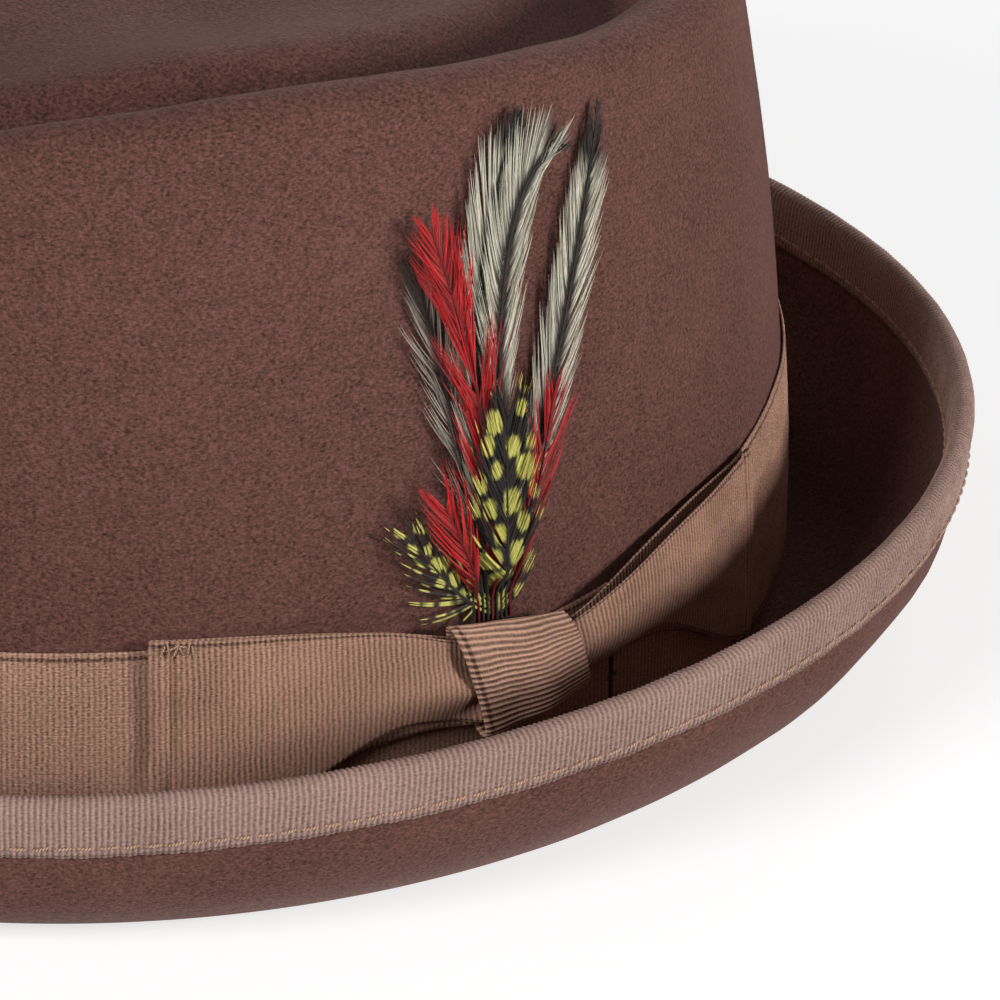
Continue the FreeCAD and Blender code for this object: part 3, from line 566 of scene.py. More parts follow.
# ---- Felt body ----------------------------------------------------------------------------------------
def felt_profile():
    """Entries for the top side from the tip's middle to the brim's foot, and for the under side back."""
    crown, first = crown_path()
    brim = brim_path()
    half = FELT / 2
    heights = [p[1] for p in crown.p]
    ridge = HEIGHT - half - RIDGE_R
    shares = []
    for i, h in enumerate(heights):
        if i <= first:
            shares.append(max(0.0, (h - SWEEP_FOOT) / (ridge - SWEEP_FOOT)) ** 2)
        else:
            shares.append(1.0 - 0.3 * (i - first) / (len(heights) - 1 - first))
    # rings of the tip, each by its size and its share of the ridge's sweep
    tip = ((0.97, 0.68), (0.9, 0.6), (0.8, 0.42), (0.68, 0.2), (0.55, 0.05),
           (0.45, 0.0), (0.3, 0.0), (0.15, 0.0), (0.0, 0.0))
    foot_of_lip = LIP[1] - BRIM_LIP

    def crown_side(distance):
        side = [(o, h, w, 0.0, 1.0) for (o, h), w in zip(crown.beside(distance), shares)]
        o, h = crown.beside(distance)[-1]
        return side + [(o, h, w, 0.0, share) for share, w in tip]

    def brim_entry(o, h):
        return (o, h, 0.0, min(1.0, max(0.0, (h - FELT) / (foot_of_lip - FELT))), 1.0)

    top = crown_side(-half)[::-1]
    top += [brim_entry(*p) for p in brim.beside(half)[1:-1]]
    top += [(o, h, 0.0, 1.0, 1.0) for o, h in lip_round(half, 6)]
    top += [brim_entry(*p) for p in reversed(brim.beside(-half)[3:-1])]
    return top, crown_side(half)


def make_felt():
    top, under = felt_profile()
    angles = np.arange(480) / 480 * 360.0
    near = np.array([0.0, 0.03, 0.09, 0.18, 0.32, 0.5, 0.72])     # extra rows beside the tip's middle
    down = np.concatenate([near / 135, np.linspace(1 / 135, 1, 135)])
    up = 1 - np.concatenate([near / 59, np.linspace(1 / 59, 1, 59)])[::-1]
    top_grid = np.einsum("sr,rac->sac", basis(len(top), down), rows(top, angles))
    under_grid = np.einsum("sr,rac->sac", basis(len(under), up), rows(under, angles))
    grid = np.concatenate([top_grid[1:], under_grid[:-1]])
    normal = normals_of(grid, closed_m=True)
    # the foot stays flat, and so does the tip's middle
    high = (np.clip((grid[..., 2] - 3.0) / 10.0, 0, 1)
            * np.clip((np.hypot(grid[..., 0], grid[..., 1]) - 6) / 16, 0, 1))
    bumps = 0.30 * wobble(grid, 34.0, 3) + 0.10 * wobble(grid, 11.0, 4)
    grid = grid + normal * (bumps * high)[..., None] * 0.6
    return domed("felt_shell", grid, top_grid[0, 0], under_grid[-1, 0], turn=-1)


dress(make_felt(), felt, "hat", "wool_felt", "felt_crown", "felt_tip", "felt_brim")


# ---- Binding and its seam -----------------------------------------------------------------------------
def on_rim(point, angles):
    """Points at an offset and height, on the swept rim."""
    return rows([(*point, 0.0, 1.0, 1.0)], angles)[0]


def make_binding():
    length = arc_length(on_rim(LIP[:2], ROUND))
    ribs = int(round(length[-1] / BIND_PITCH))
    count = ribs * PER_RIB
    s = np.arange(count) / count * length[-1]
    angles = np.interp(s, length, ROUND)
    near, far = FELT / 2 + GAP, FELT / 2 + GAP + BIND_THICK
    legs = [BIND_LEG, BIND_LEG * 0.9, BIND_LEG * 0.6, BIND_LEG * 0.3]

    def face(out):
        return ([on_lip(down, out) for down in legs] + lip_round(out)[::-1]
                + [on_lip(down, -out) for down in reversed(legs)])

    outer, inner = face(far), face(near)
    # the selvedges are thinner
    outer[0], outer[-1] = on_lip(BIND_LEG, near + 0.35), on_lip(BIND_LEG, -near - 0.35)
    section = outer + inner[::-1]
    rings = rows([(o, h, 0.0, 1.0, 1.0) for o, h in section], angles).transpose(1, 0, 2)
    m_out = len(outer)
    normal = normals_of(rings[:, :m_out], closed_n=True)
    centre = rings[:, m_out // 2:m_out // 2 + 1].copy()
    centre[..., 2] -= 6.0
    sign = np.sign((normal * (rings[:, :m_out] - centre)).sum(-1).mean())
    lift = 0.085 * np.tile([0.0, 1.0, 0.0, -1.0], ribs)[:, None] * np.ones(m_out)
    wave = 0.04 * wobble(rings[:, :m_out], 9.0, 5)
    rings[:, :m_out] += sign * normal * (lift + wave)[..., None]
    # the ribbon's selvedges are slightly scalloped by the seam
    scallop = 0.07 * np.cos(s * TAU / BIND_STITCH) + 0.08 * np.sin(s * TAU / 17.0)
    for k in (0, m_out - 1, m_out, len(section) - 1):
        rings[:, k, 2] += scallop
    across = np.linspace(0, NARROW_RIBBON, m_out)
    coords = weave(s, np.concatenate([across, np.linspace(NARROW_RIBBON, 0, m_out)]))
    return loft("rim_binding", rings, coords, closed=True, flip=True)


dress(make_binding(), binding_ribbon, "hat", "binding_grosgrain", "brim_binding")


def make_binding_seam():
    length = arc_length(on_rim(LIP[:2], ROUND))
    count = int(length[-1] / BIND_STITCH)
    steps = np.arange(count)
    a0, a1 = (np.interp((steps + share) / count * length[-1], length, ROUND) for share in (0.08, 0.92))
    out = FELT / 2 + GAP + BIND_THICK + 0.12
    starts, ends, outs = [], [], []
    rng = np.random.default_rng(8)
    for side in (1, -1):
        foot, beyond = (on_lip(BIND_LEG - SEAM_RISE, side * (out + more)) for more in (0, 1))
        tilt = 0.1 + 0.08 * rng.normal(size=count)
        p0, p1 = on_rim(foot, a0), on_rim(foot, a1)
        outs.append(unit(on_rim(beyond, a0) - p0))
        p0[:, 2] -= tilt
        p1[:, 2] += tilt
        starts.append(p0)
        ends.append(p1)
    return stitch_mesh("binding_seam", np.concatenate(starts), np.concatenate(ends), np.concatenate(outs), 0.24)


dress(make_binding_seam(), seam_thread, "hat", "seam_thread", "binding_thread")


# ---- Hatband ------------------------------------------------------------------------------------------
def band_width(angles):
    """The band is pressed lower behind the bow."""
    turned = np.asarray(angles) - BAND_DIP_ANGLE
    turned = turned - 360.0 * (turned > 180.0)
    reach = np.where(turned < 0, BAND_DIP_FRONT, BAND_DIP_REAR)
    return BAND_WIDTH - BAND_DIP * (0.5 + 0.5 * np.cos(math.pi * np.minimum(1.0, np.abs(turned) / reach)))


def make_hatband():
    start, end = BAND_JOIN + BAND_JOIN_GAP / 2, BAND_JOIN - BAND_JOIN_GAP / 2 + 360.0
    t = np.linspace(start, end, 2001)
    length = arc_length(place(t, 0.0, 20.0))
    s = np.linspace(0, length[-1], int(round(length[-1] / BAND_PITCH)) * PER_RIB + 1)
    angles = np.interp(s, length, t)
    v = np.linspace(0, BAND_WIDTH, 10)
    v[1], v[-2] = 0.6, BAND_WIDTH - 0.6
    heights = BAND_FOOT + v[None, :] / BAND_WIDTH * band_width(angles)[:, None]
    middle = place(angles[:, None], wall(heights) + GAP + BAND_THICK / 2, heights)
    normal = normals_of(middle)
    slack = 0.12 * wobble(middle, 40.0, 12) + 0.05 * wobble(middle, 9.0, 13)
    middle += normal * np.abs(slack)[..., None] * np.sign((normal * middle)[..., :2].sum(-1).mean())
    return sheet("hatband_ribbon", middle, BAND_THICK - 0.14, s, v, ribs_along(s, BAND_PITCH, 0.06, len(v)))


hatband = dress(make_hatband(), band_ribbon, "hat", "band_grosgrain", "hatband")
band_length = arc_length(place(ROUND, 0.0, 20.0))[-1]


# ---- Bow ----------------------------------------------------------------------------------------------
# Stations along each loop, from the knot round the fold and back: degrees from the knot's centre,
# distance from the hatband's face, and the heights of the lower and upper edges.
FRONT_LOOP = (
    (2.0, 4.9, 20.2, 33.2), (5.5, 5.0, 21.4, 34.2), (8.0, 4.8, 22.8, 36.2), (11.0, 4.2, 23.0, 38.0),
    (15.0, 3.3, 19.2, 39.0), (20.0, 2.6, 13.5, 39.8), (25.0, 2.0, 9.5, 40.1), (29.0, 1.6, 7.6, 40.3),
    (30.6, 1.5, 7.2, 40.4), (31.3, 1.05, 7.2, 40.4), (30.6, 0.6, 7.2, 40.3), (29.0, 0.6, 7.6, 40.1),
    (25.0, 0.6, 9.0, 39.8), (20.0, 0.7, 12.5, 39.2), (15.0, 0.9, 17.0, 38.0), (11.0, 1.5, 19.6, 36.8),
    (8.0, 2.7, 20.2, 35.6), (5.5, 3.6, 20.2, 34.4), (2.0, 3.8, 20.0, 33.6),
)
REAR_LOOP = (
    (2.0, 4.9, 21.9, 30.4), (5.5, 5.0, 22.0, 31.0), (9.0, 4.9, 22.2, 32.9), (13.0, 4.6, 23.4, 34.9),
    (17.0, 4.0, 22.6, 36.6), (21.0, 3.4, 18.5, 37.5), (25.0, 2.8, 13.5, 38.0), (29.0, 2.2, 9.5, 38.0),
    (32.0, 1.8, 7.4, 37.8), (33.6, 1.6, 6.8, 37.6), (34.3, 1.1, 6.8, 37.4), (33.6, 0.6, 6.8, 37.3),
    (32.0, 0.6, 7.4, 37.4), (29.0, 0.6, 9.5, 37.6), (25.0, 0.8, 13.0, 37.6), (21.0, 1.1, 17.5, 37.2),
    (17.0, 1.5, 20.5, 36.2), (13.0, 2.2, 21.4, 34.5), (9.0, 3.1, 21.9, 32.6), (5.5, 3.8, 21.9, 30.8),
    (2.0, 3.9, 21.9, 30.2),
)


def make_loop(name, stations, direction, pleats, tuck):
    """A loop of ribbon, gathered into pleats where the knot grips it."""
    st = np.array(stations)
    fine = basis(len(st), np.linspace(0, 1, 1500)) @ st
    v = np.linspace(0, 1, 30)
    v[1], v[-2] = 0.02, 0.98

    fold_at = int(np.argmax(fine[:, 0]))
    fine = np.concatenate([fine, (np.arange(len(fine)) < fold_at)[:, None]], 1)
    end = fine[fold_at, 0]

    def surface(f):
        away, standoff, low, high, facing = (f[:, k][:, None] for k in range(5))
        front = np.clip((standoff - 2.0) / 1.5, 0, 1)
        height = low + (high - low) * v[None, :]
        # creases that spread from where the knot grips the ribbon
        along, up = (away - 1.0) * 1.75, height - 25.5
        far = np.hypot(along, up)
        fold = pleats * np.exp(-(far / 17.0) ** 2) * np.sin(np.arctan2(up, along) * 6.5 + 0.7)
        fold = fold * np.clip(far / 7.0, 0, 1)
        roll = tuck * (1 - v[None, :]) ** 2.2 * front
        # the end is pressed flat beside its turned edge
        roll = roll + 0.42 * facing * np.exp(-((away - end + 1.7) / 0.42) ** 2)
        bulge = 0.5 * np.sin(math.pi * v[None, :]) * front
        out = standoff + bulge + fold * (0.4 + 0.6 * front) - roll
        return on_band(BOW_ANGLE + direction * away, out, height)

    mid_line = surface(fine)[:, 15]
    s_fine = arc_length(mid_line)
    s = np.linspace(0, s_fine[-1], int(round(s_fine[-1] / BAND_PITCH)) * PER_RIB + 1)
    f = np.stack([np.interp(s, s_fine, fine[:, k]) for k in range(5)], 1)
    middle = surface(f)
    middle += normals_of(middle) * (0.10 * wobble(middle, 14.0, 21))[..., None]
    return sheet(name, middle, BOW_THICK - 0.12, s, np.linspace(0, BAND_WIDTH, len(v)),
                 ribs_along(s, BAND_PITCH, 0.06, len(v)), flip=direction > 0)


for piece, node, stations, direction, pleats, tuck in (
        ("bow_loop_front", "bow_front_loop", FRONT_LOOP, -1, 0.85, 0.3),
        ("bow_loop_rear", "bow_rear_loop", REAR_LOOP, 1, 0.6, 0.8)):
    dress(make_loop(piece, stations, direction, pleats, tuck), bow_ribbon, "hat", "bow_grosgrain", node)


def knot_edges(share):
    return KNOT_LOW + KNOT_LOW_RISE * share, KNOT_HIGH + KNOT_HIGH_RISE * share


def knot_section(share):
    (low, high), back, front = knot_edges(share), POCKET + BOW_THICK / 2, KNOT_FRONT
    middle = (low + high) / 2
    return np.array((
        (back, middle - 0.4), (back, low + 4.0), (back + 0.3, low + 1.4), (back + 1.4, low),
        (front - 1.4, low + 0.2), (front - 0.2, low + 1.8), (front + 0.3, middle - 3.0),
        (front + 0.3, middle + 3.0), (front - 0.2, high - 1.9), (front - 1.4, high - 0.2),
        (back + 1.4, high), (back + 0.3, high - 1.2), (back, high - 4.0), (back, middle + 0.4)))


def make_knot():
    u = np.linspace(0, 1, 800)
    s_fine = arc_length(basis(14, u) @ knot_section(0.0))
    s = np.linspace(0, s_fine[-1], int(round(s_fine[-1] / KNOT_PITCH)) * PER_RIB + 1)
    weights = basis(14, np.interp(s, s_fine, u))
    share = np.linspace(-0.5, 0.5, 26)
    share[1], share[-2] = -0.48, 0.48
    out, height = np.stack([weights @ knot_section(x) for x in share], 1).transpose(2, 0, 1)
    outer = np.clip((out - POCKET - BOW_THICK / 2 - 1.5) / 2.0, 0, 1)
    crown = 0.7 * (1 - (2 * share[None, :]) ** 2) * outer - 0.5 * outer * (np.abs(2 * share[None, :]) ** 6)
    crown = crown + 0.28 * outer * np.sin(share[None, :] * 11.0 + 0.9)
    angle = BOW_ANGLE + KNOT_SHIFT + KNOT_LEAN * (KNOT_MIDDLE - height) / (KNOT_HIGH - KNOT_MIDDLE)
    grid = on_band(angle + KNOT_SPAN * share[None, :], out + crown, height)
    grid += normals_of(grid) * (0.06 * wobble(grid, 8.0, 31))[..., None]
    return sheet("bow_centre", grid, BOW_THICK - 0.12, s, (share + 0.5) * NARROW_RIBBON,
                 ribs_along(s, KNOT_PITCH, 0.09, len(share)), flip=True)


dress(make_knot(), knot_ribbon, "hat", "bow_grosgrain", "bow_knot")


# ---- Feathers -----------------------------------------------------------------------------------------
MM_PER_DEGREE = math.radians(math.hypot(HALF_W * math.cos(math.radians(FEATHER_ANGLE)),
                                        HALF_L * math.sin(math.radians(FEATHER_ANGLE))))


def on_crown(along, height, lift):
    return place(FEATHER_ANGLE + along / MM_PER_DEGREE, wall(height) + lift, height)


VANE_ROOT, VANE_FAN, ROOT_PITCH = 33.7, 37.4, 0.8
# From the front to the rear: the middle and the tip of the quill, each as a distance to the rear of the
# stem and a height, then the width and the lift that the part's source gives the vane.
FEATHERS = {
    "guinea_feather_side": ((-7.5, 40.5), (-14.0, 51.0), 7.0, 3.4),
    "red_hackle_lower": ((-5.0, 45.5), (-9.0, 55.0), 4.5, 4.6),
    "dark_hackle": ((-2.0, 58.0), (-11.0, 91.0), 6.0, 1.6),
    "badger_hackle_left": ((-6.0, 85.0), (10.1, 108.7), 7.0, 2.8),
    "red_hackle_upper": ((1.5, 62.0), (-8.3, 96.0), 7.0, 4.0),
    "guinea_feather_front": ((0.5, 50.0), (1.9, 66.5), 13.5, 5.2),
    "badger_hackle_middle": ((-1.0, 102.0), (17.5, 102.4), 7.0, 3.4),
    "badger_hackle_right": ((12.0, 66.0), (28.0, 105.0), 8.0, 2.0),
    "red_hackle_rear": ((8.0, 50.0), (12.5, 66.0), 4.5, 2.8),
}


def quill_line(name, samples):
    """The quill's place along and up the crown at shares of its length, and its lift."""
    index = list(FEATHERS).index(name)
    middle, tip, _, lift = FEATHERS[name]
    root = (index - (len(FEATHERS) - 1) / 2) * ROOT_PITCH
    s = np.asarray(samples, float)
    along = (1 - s) ** 2 * root + 2 * s * (1 - s) * middle[0] + s * s * tip[0]
    height = (1 - s) ** 2 * VANE_FAN + 2 * s * (1 - s) * middle[1] + s * s * tip[1]
    ease = np.clip((height - VANE_FAN) / 6.0, 0, 1)
    out = STEM_LIFT + (lift - STEM_LIFT) * ease * ease * (3 - 2 * ease)
    return root, along, height, out


def make_feather(name, piece, barbs, sweep_angle, length_of, colour_of, segments=7, start=0.12,
                 droop=0.0, spread=0.12, barb_width=0.22, quill_colour=(0.03, 0.022, 0.018), seed=1, clump=0.5):
    """A quill with barbs on both sides. sweep_angle is theirs from the quill, at its foot and its tip."""
    rng = np.random.default_rng(seed)
    verts, quads, tints = [], [], []
    total = 0

    def add(points, widths, colours, sides):
        """A flat ribbon along points."""
        nonlocal total
        k = len(points)
        left = points - sides * widths[:, None] / 2
        right = points + sides * widths[:, None] / 2
        verts.append(np.stack([left, right], 1).reshape(-1, 3))
        a = total + 2 * np.arange(k - 1)
        quads.append(np.stack([a, a + 1, a + 3, a + 2], -1))
        tints.append(np.repeat(colours, 2, axis=0))
        total += 2 * k

    # the quill, as a thin three-sided rod
    samples = np.linspace(0, 1, 28)
    root, along, height, out = quill_line(name, samples)
    along = np.concatenate([[root, root], along])
    height = np.concatenate([[VANE_ROOT, (VANE_ROOT + VANE_FAN) / 2], height])
    out = np.concatenate([[STEM_LIFT, STEM_LIFT], out])
    line = on_crown(along, height, out)
    outward = on_crown(along, height, out + 1.0) - line
    across = unit(np.cross(unit(np.gradient(line, axis=0)), outward))
    thick = np.linspace(0.42, 0.12, len(line))
    turns = [math.radians(a) for a in (90.0, 210.0, 330.0)]
    rod = [line + (across * math.cos(a) + outward * math.sin(a)) * thick[:, None] for a in turns]
    verts.append(np.stack(rod, 1).reshape(-1, 3))
    quads.append(grid_quads(len(line), 3, closed_m=True) + total)
    tints.append(np.repeat(np.tile(np.array(quill_colour), (len(line), 1)), 3, axis=0))
    total += 3 * len(line)

    middle, tip = FEATHERS[name][:2]
    tip_heading = math.atan2(tip[1] - middle[1], tip[0] - middle[0])
    shares = start + (1 - start) * (np.arange(barbs) + 0.5) / barbs
    clumps = np.cumsum(rng.random(barbs) < 0.16)
    tilt_of_clump = rng.normal(size=clumps[-1] + 1)
    for side in (-1.0, 1.0):
        for i, share in enumerate(shares):
            share = float(np.clip(share + rng.normal() * 0.004, -0.2, 0.995))
            _, u0, h0, o0 = (np.atleast_1d(x) for x in quill_line(name, [share]))
            _, u1, h1, _ = (np.atleast_1d(x) for x in quill_line(name, [min(1.0, share + 0.01)]))
            heading = math.atan2(h1[0] - h0[0], u1[0] - u0[0]) if share < 0.99 else tip_heading
            reach = length_of(share, side) * (1 + rng.normal() * 0.10)
            if reach < 0.4:
                continue
            open_angle = sweep_angle[0] + (sweep_angle[1] - sweep_angle[0]) * max(share, 0.0) ** 0.7
            open_angle += clump * 5.0 * tilt_of_clump[clumps[i]] + rng.normal() * 2.0 + 220.0 * max(-share, 0.0)
            r = np.linspace(0, 1, segments + 1)
            # barbs leave the quill at an angle and bend towards its tip
            angle = heading - side * np.radians(open_angle) * (1 - 0.45 * r)
            step = reach / segments
            u = u0[0] + np.concatenate([[0], np.cumsum(np.cos(angle[:-1]) * step)])
            h = h0[0] + np.concatenate([[0], np.cumsum(np.sin(angle[:-1]) * step)])
            lift = o0[0] + r * rng.normal() * spread + droop * r * r + 0.06 * side
            points = on_crown(u, h, np.maximum(lift, 0.55))
            away = on_crown(u, h, lift + 1.0) - on_crown(u, h, lift)
            turned = np.cross(unit(np.gradient(points, axis=0)), away)
            lean = rng.normal() * 0.35
            turned = turned * math.cos(lean) + away * math.sin(lean)
            widths = barb_width * np.interp(r, [0, 0.15, 0.7, 1.0], [0.7, 1.0, 0.75, 0.12])
            add(points, widths, colour_of(share, r, u, h, rng), turned)
    tint = np.concatenate(tints)
    obj = mesh_from(piece, np.concatenate(verts), np.concatenate(quads))
    layer = obj.data.attributes.new("tint", "FLOAT_COLOR", "POINT")
    rgba = np.concatenate([tint, np.ones((len(tint), 1))], 1).astype(np.float32)
    layer.data.foreach_set("color", rgba.ravel())
    return obj


def tone(r, g, b):
    return np.array(srgb(r, g, b)[:3])


def leaf(width, start, low=0.35, point=0.5, least=0.0):
    """Barb length along the quill, for a vane of that width."""
    def length(share, side):
        rise = min(1.0, low + (share - start) * 3.0)
        fall = max(least, max(0.0, min(1.0, (1.02 - share) * 3.2)) ** point)
        return width * 0.62 * rise * fall
    return length


def badger(share, r, u, h, rng):
    """Cream barbs, dark by the quill and at the feather's tip."""
    cream = tone(214, 208, 188) * rng.uniform(0.66, 1.2)
    dark = tone(44, 36, 30) * rng.uniform(0.6, 1.5)
    edge = np.clip((r - 0.14 - 0.10 * rng.random()) / 0.10, 0, 1)
    top = np.clip((share + 0.10 * r - 0.86) / 0.07, 0, 1)
    light = edge * (1 - top)
    return dark + (cream - dark) * light[:, None]


def red(share, r, u, h, rng):
    base = tone(206, 26, 30) * rng.uniform(0.5, 1.2)
    deep = tone(96, 14, 18)
    return base + (deep - base) * np.clip(0.55 - 1.4 * r, 0, 1)[:, None]


def grey_brown(share, r, u, h, rng):
    base = tone(176, 164, 150) * rng.uniform(0.5, 1.2)
    dark = tone(60, 48, 42)
    light = np.clip((r - 0.15) / 0.25, 0, 1) * (1 - np.clip((share - 0.8) / 0.1, 0, 1))
    return dark + (base - dark) * light[:, None]


def guinea(spots_seed, pitch=(3.7, 4.3), size=(1.12, 1.55)):
    """Staggered yellow-green spots on a nearly black ground, across the crown and up it."""
    table = np.random.default_rng(spots_seed).uniform(-0.5, 0.5, size=(64, 64, 3))

    def colour(share, r, u, h, rng):
        shift = rng.normal() * 0.18
        row = np.floor((h + shift) / pitch[1]).astype(int)
        column = np.floor(u / pitch[0] + 0.5 * (row % 2)).astype(int)
        jitter = table[row % 64, column % 64]
        a = u - (column + 0.5 - 0.5 * (row % 2) + 0.35 * jitter[:, 0]) * pitch[0]
        b = h + shift - (row + 0.5 + 0.35 * jitter[:, 1]) * pitch[1]
        d = (np.abs(a / size[0]) ** 2.6 + np.abs(b / size[1]) ** 2.6) ** 0.4 * (1 + 0.6 * jitter[:, 2])
        spot = tone(212, 206, 104) * rng.uniform(0.7, 1.12)
        ground = tone(28, 22, 19) * rng.uniform(0.6, 1.8)
        return ground + (spot - ground) * np.clip((1.1 - d) / 0.25, 0, 1)[:, None]

    return colour


FEATHER_ROUGHNESS = {"badger_feather": 0.6, "red_feather": 0.55, "dark_feather": 0.65, "guinea_feather": 0.6}
feather_looks = {slot: feather_material(slot, rough) for slot, rough in FEATHER_ROUGHNESS.items()}


def add_feather(node, piece, slot, *shape, **options):
    dress(make_feather(node, piece, *shape, **options), feather_looks[slot], "feather_trim", slot, node)


for index, side in enumerate(("left", "middle", "right")):
    add_feather("badger_hackle_" + side, "hackle_" + side, "badger_feather", 240, (21, 24),
                leaf(20.0, 0.14, 0.5, 0.9), badger, segments=8, start=0.14, seed=40 + index, barb_width=0.2,
                clump=0.35, spread=0.25)
add_feather("dark_hackle", "hackle_dark", "dark_feather", 110, (24, 20), leaf(17.0, 0.15), grey_brown,
            segments=8, start=0.15, seed=51, barb_width=0.18, clump=1.6, spread=0.4)
for index, (side, width, count) in enumerate((("upper", 22.0, 210), ("lower", 19.0, 26), ("rear", 17.0, 34))):
    few = count < 100
    add_feather("red_hackle_" + side, "hackle_red_" + side, "red_feather", count, (25, 18),
                leaf(width, 0.1, 0.5), red, segments=8, start=0.08, seed=60 + index,
                barb_width=0.2 + 0.07 * few, quill_colour=tuple(tone(110, 16, 18)), clump=1.5 + 1.5 * few,
                spread=0.4)
add_feather("guinea_feather_front", "guinea_front", "guinea_feather", 170, (40, 24),
            leaf(19.0, -0.13, 0.8, least=0.55), guinea(5), segments=24, start=-0.13, seed=71, barb_width=0.32,
            clump=0.8, spread=0.3)
add_feather("guinea_feather_side", "guinea_side", "guinea_feather", 20, (40, 24),
            leaf(15.0, -0.1, 0.7, least=0.5), guinea(6, (2.6, 3.4), (0.9, 1.2)), segments=18, start=-0.1,
            seed=72, barb_width=0.36, clump=2.2, spread=0.5)


def stem_frame():
    top = on_crown(0.0, STEM_HIGH, STEM_LIFT)
    out = place(FEATHER_ANGLE, 1.0, 0.0) - place(FEATHER_ANGLE, 0.0, 0.0)
    rear = np.cross([0, 0, 1.0], out)
    up = np.array([0, 0, 1.0]) + rear * math.tan(math.radians(FEATHER_LEAN)) - out * STEM_SLOPE
    up /= np.linalg.norm(up)
    across = rear - up * (rear @ up)
    across /= np.linalg.norm(across)
    return top, up, across, np.cross(across, up)


def make_stem():
    """The bare quills side by side, which the thread binds."""
    top, up, across, out = stem_frame()
    verts, quads, coords = [], [], []
    total = 0
    for i in range(9):
        x = (i - 4) * 0.78
        h = np.linspace(STEM_LOW + 0.6 * abs(i - 4) / 4 + 0.2 * (i % 2), STEM_HIGH, 12) - STEM_HIGH
        a = np.arange(8) / 8 * TAU
        line = top + up * h[:, None] + across * x
        ring = line[:, None] + (across * np.cos(a)[:, None] * 0.38 + out * np.sin(a)[:, None] * 0.5)[None]
        verts.append(ring.reshape(-1, 3))
        quads.append(grid_quads(12, 8, closed_m=True) + total)
        coords.append(weave(h, a).reshape(-1, 3))
        total += 96
    return mesh_from("quill_bundle", np.concatenate(verts), np.concatenate(quads),
                     {"weave": np.concatenate(coords)})


quill_look = thread_material("feather_quill", (44, 34, 28), (96, 80, 66))
dress(make_stem(), quill_look, "feather_trim", "feather_quill", "feather_stem")


def make_wrap():
    """Thread wound in close turns round the quills."""
    top, up, across, out = stem_frame()
    turns, sides = 13, 6
    k = np.arange(turns * 36 + 1) / 36.0
    a = k * TAU
    h = 27.15 + k / turns * 5.3 - STEM_HIGH
    centre = (top + up * h[:, None] + across * (np.cos(a) * 3.72)[:, None]
              + out * (np.sign(np.sin(a)) * (np.abs(np.sin(a)) ** 0.35) * 0.66)[:, None])
    side = unit(np.cross(unit(np.gradient(centre, axis=0)), up))
    b = np.arange(sides) / sides * TAU
    ring = (centre[:, None] + 0.12 * np.cos(b)[None, :, None] * side[:, None]
            + 0.2 * np.sin(b)[None, :, None] * up)
    return loft("stem_winding", ring, weave(arc_length(centre), b / TAU))


dress(make_wrap(), stem_thread, "feather_trim", "stem_thread", "feather_wrap")


# ---- Stitches on the band and the bow -------------------------------------------------------------------
def make_band_stitches():
    """Slanting pairs of stitches across the join of the hatband's ends."""
    starts, ends, outs = [], [], []
    for i in range(6):
        h = BAND_FOOT + float(band_width(BAND_JOIN)) * (i + 0.5) / 6
        for slant in (-0.35, 0.35):
            a = on_band(BAND_JOIN - 0.62, 0.24, h + slant)
            b = on_band(BAND_JOIN + 0.62, 0.24, h - slant)
            starts.append(a)
            ends.append(b)
            outs.append((on_band(BAND_JOIN, 1.0, h) - on_band(BAND_JOIN, 0.0, h)))
    return stitch_mesh("band_join_stitches", starts, ends, outs, 0.17, bow=0.1)


def make_bow_tacks():
    """Two strands of thread at each place where the knot is sewn to the band."""
    starts, ends, outs = [], [], []
    for away in (-3.8, 4.2):
        low, high = knot_edges(away / KNOT_SPAN)
        for h in (low + 4.0, high - 4.0):
            for beside in (-0.16, 0.16):
                starts.append(on_band(BOW_ANGLE + away, GAP, h + beside))
                ends.append(on_band(BOW_ANGLE + away, POCKET - GAP, h - beside))
                outs.append([0, 0, 1.0])
    return stitch_mesh("bow_tack_threads", starts, ends, outs, 0.17, bow=0.05)


def make_loop_tack():
    """Crossed stitches that hold the loop's end to the band, at its upper corner."""
    starts, ends, outs = [], [], []
    for i, (back, dh, angle) in enumerate(((0.0, 0.0, 72), (0.5, 0.3, 100), (1.0, -0.2, 60), (1.5, 0.2, 112),
                                           (2.1, 0.0, 80), (0.8, 0.5, 20), (1.6, 0.7, -15), (2.5, -0.3, 98))):
        a, t, h = math.radians(angle), BOW_ANGLE - 30.0 + back, 39.0 + dh
        out = 1.95 + 0.06 * back + 0.05 * (i % 3)
        base, side = on_band(t, out, h), on_band(t + 1.0, out, h) - on_band(t, out, h)
        d = side / np.linalg.norm(side) * math.cos(a) + np.array([0, 0, 1.0]) * math.sin(a)
        starts.append(base - d * 1.1)
        ends.append(base + d * 1.1)
        outs.append(on_band(t, 4.5, h) - on_band(t, 3.5, h))
    return stitch_mesh("loop_end_tack", starts, ends, outs, 0.15, bow=0.15)


dress(make_band_stitches(), tack_thread, "hat", "tack_thread", "hatband_stitches")
dress(make_bow_tacks(), tack_thread, "hat", "tack_thread", "bow_tacks")
dress(make_loop_tack(), seam_thread, "hat", "tack_thread", "bow_end_stitches")


# ---- Sweatband ------------------------------------------------------------------------------------------
SWEAT_THICK, FOLD_OFFSET, FOLD_HEIGHT, OUTER_LEG, SWEAT_SEAM = 0.9, -3.6, 3.9, 4.0, 2.5
SWEAT_SIDE = ((-6.4, 9.0), (-5.7, 12.0), (-5.0, 16.0), (-4.6, 20.0), (-4.45, 26.0), (-4.5, 32.0), (-4.65, 37.0))
SWEAT_END_GAP, REED_R, REED_CLEAR = 0.5, 1.0, 0.1
FOLD_R = REED_R + REED_CLEAR + SWEAT_THICK / 2
REED_OFFSET = FOLD_OFFSET - FOLD_R


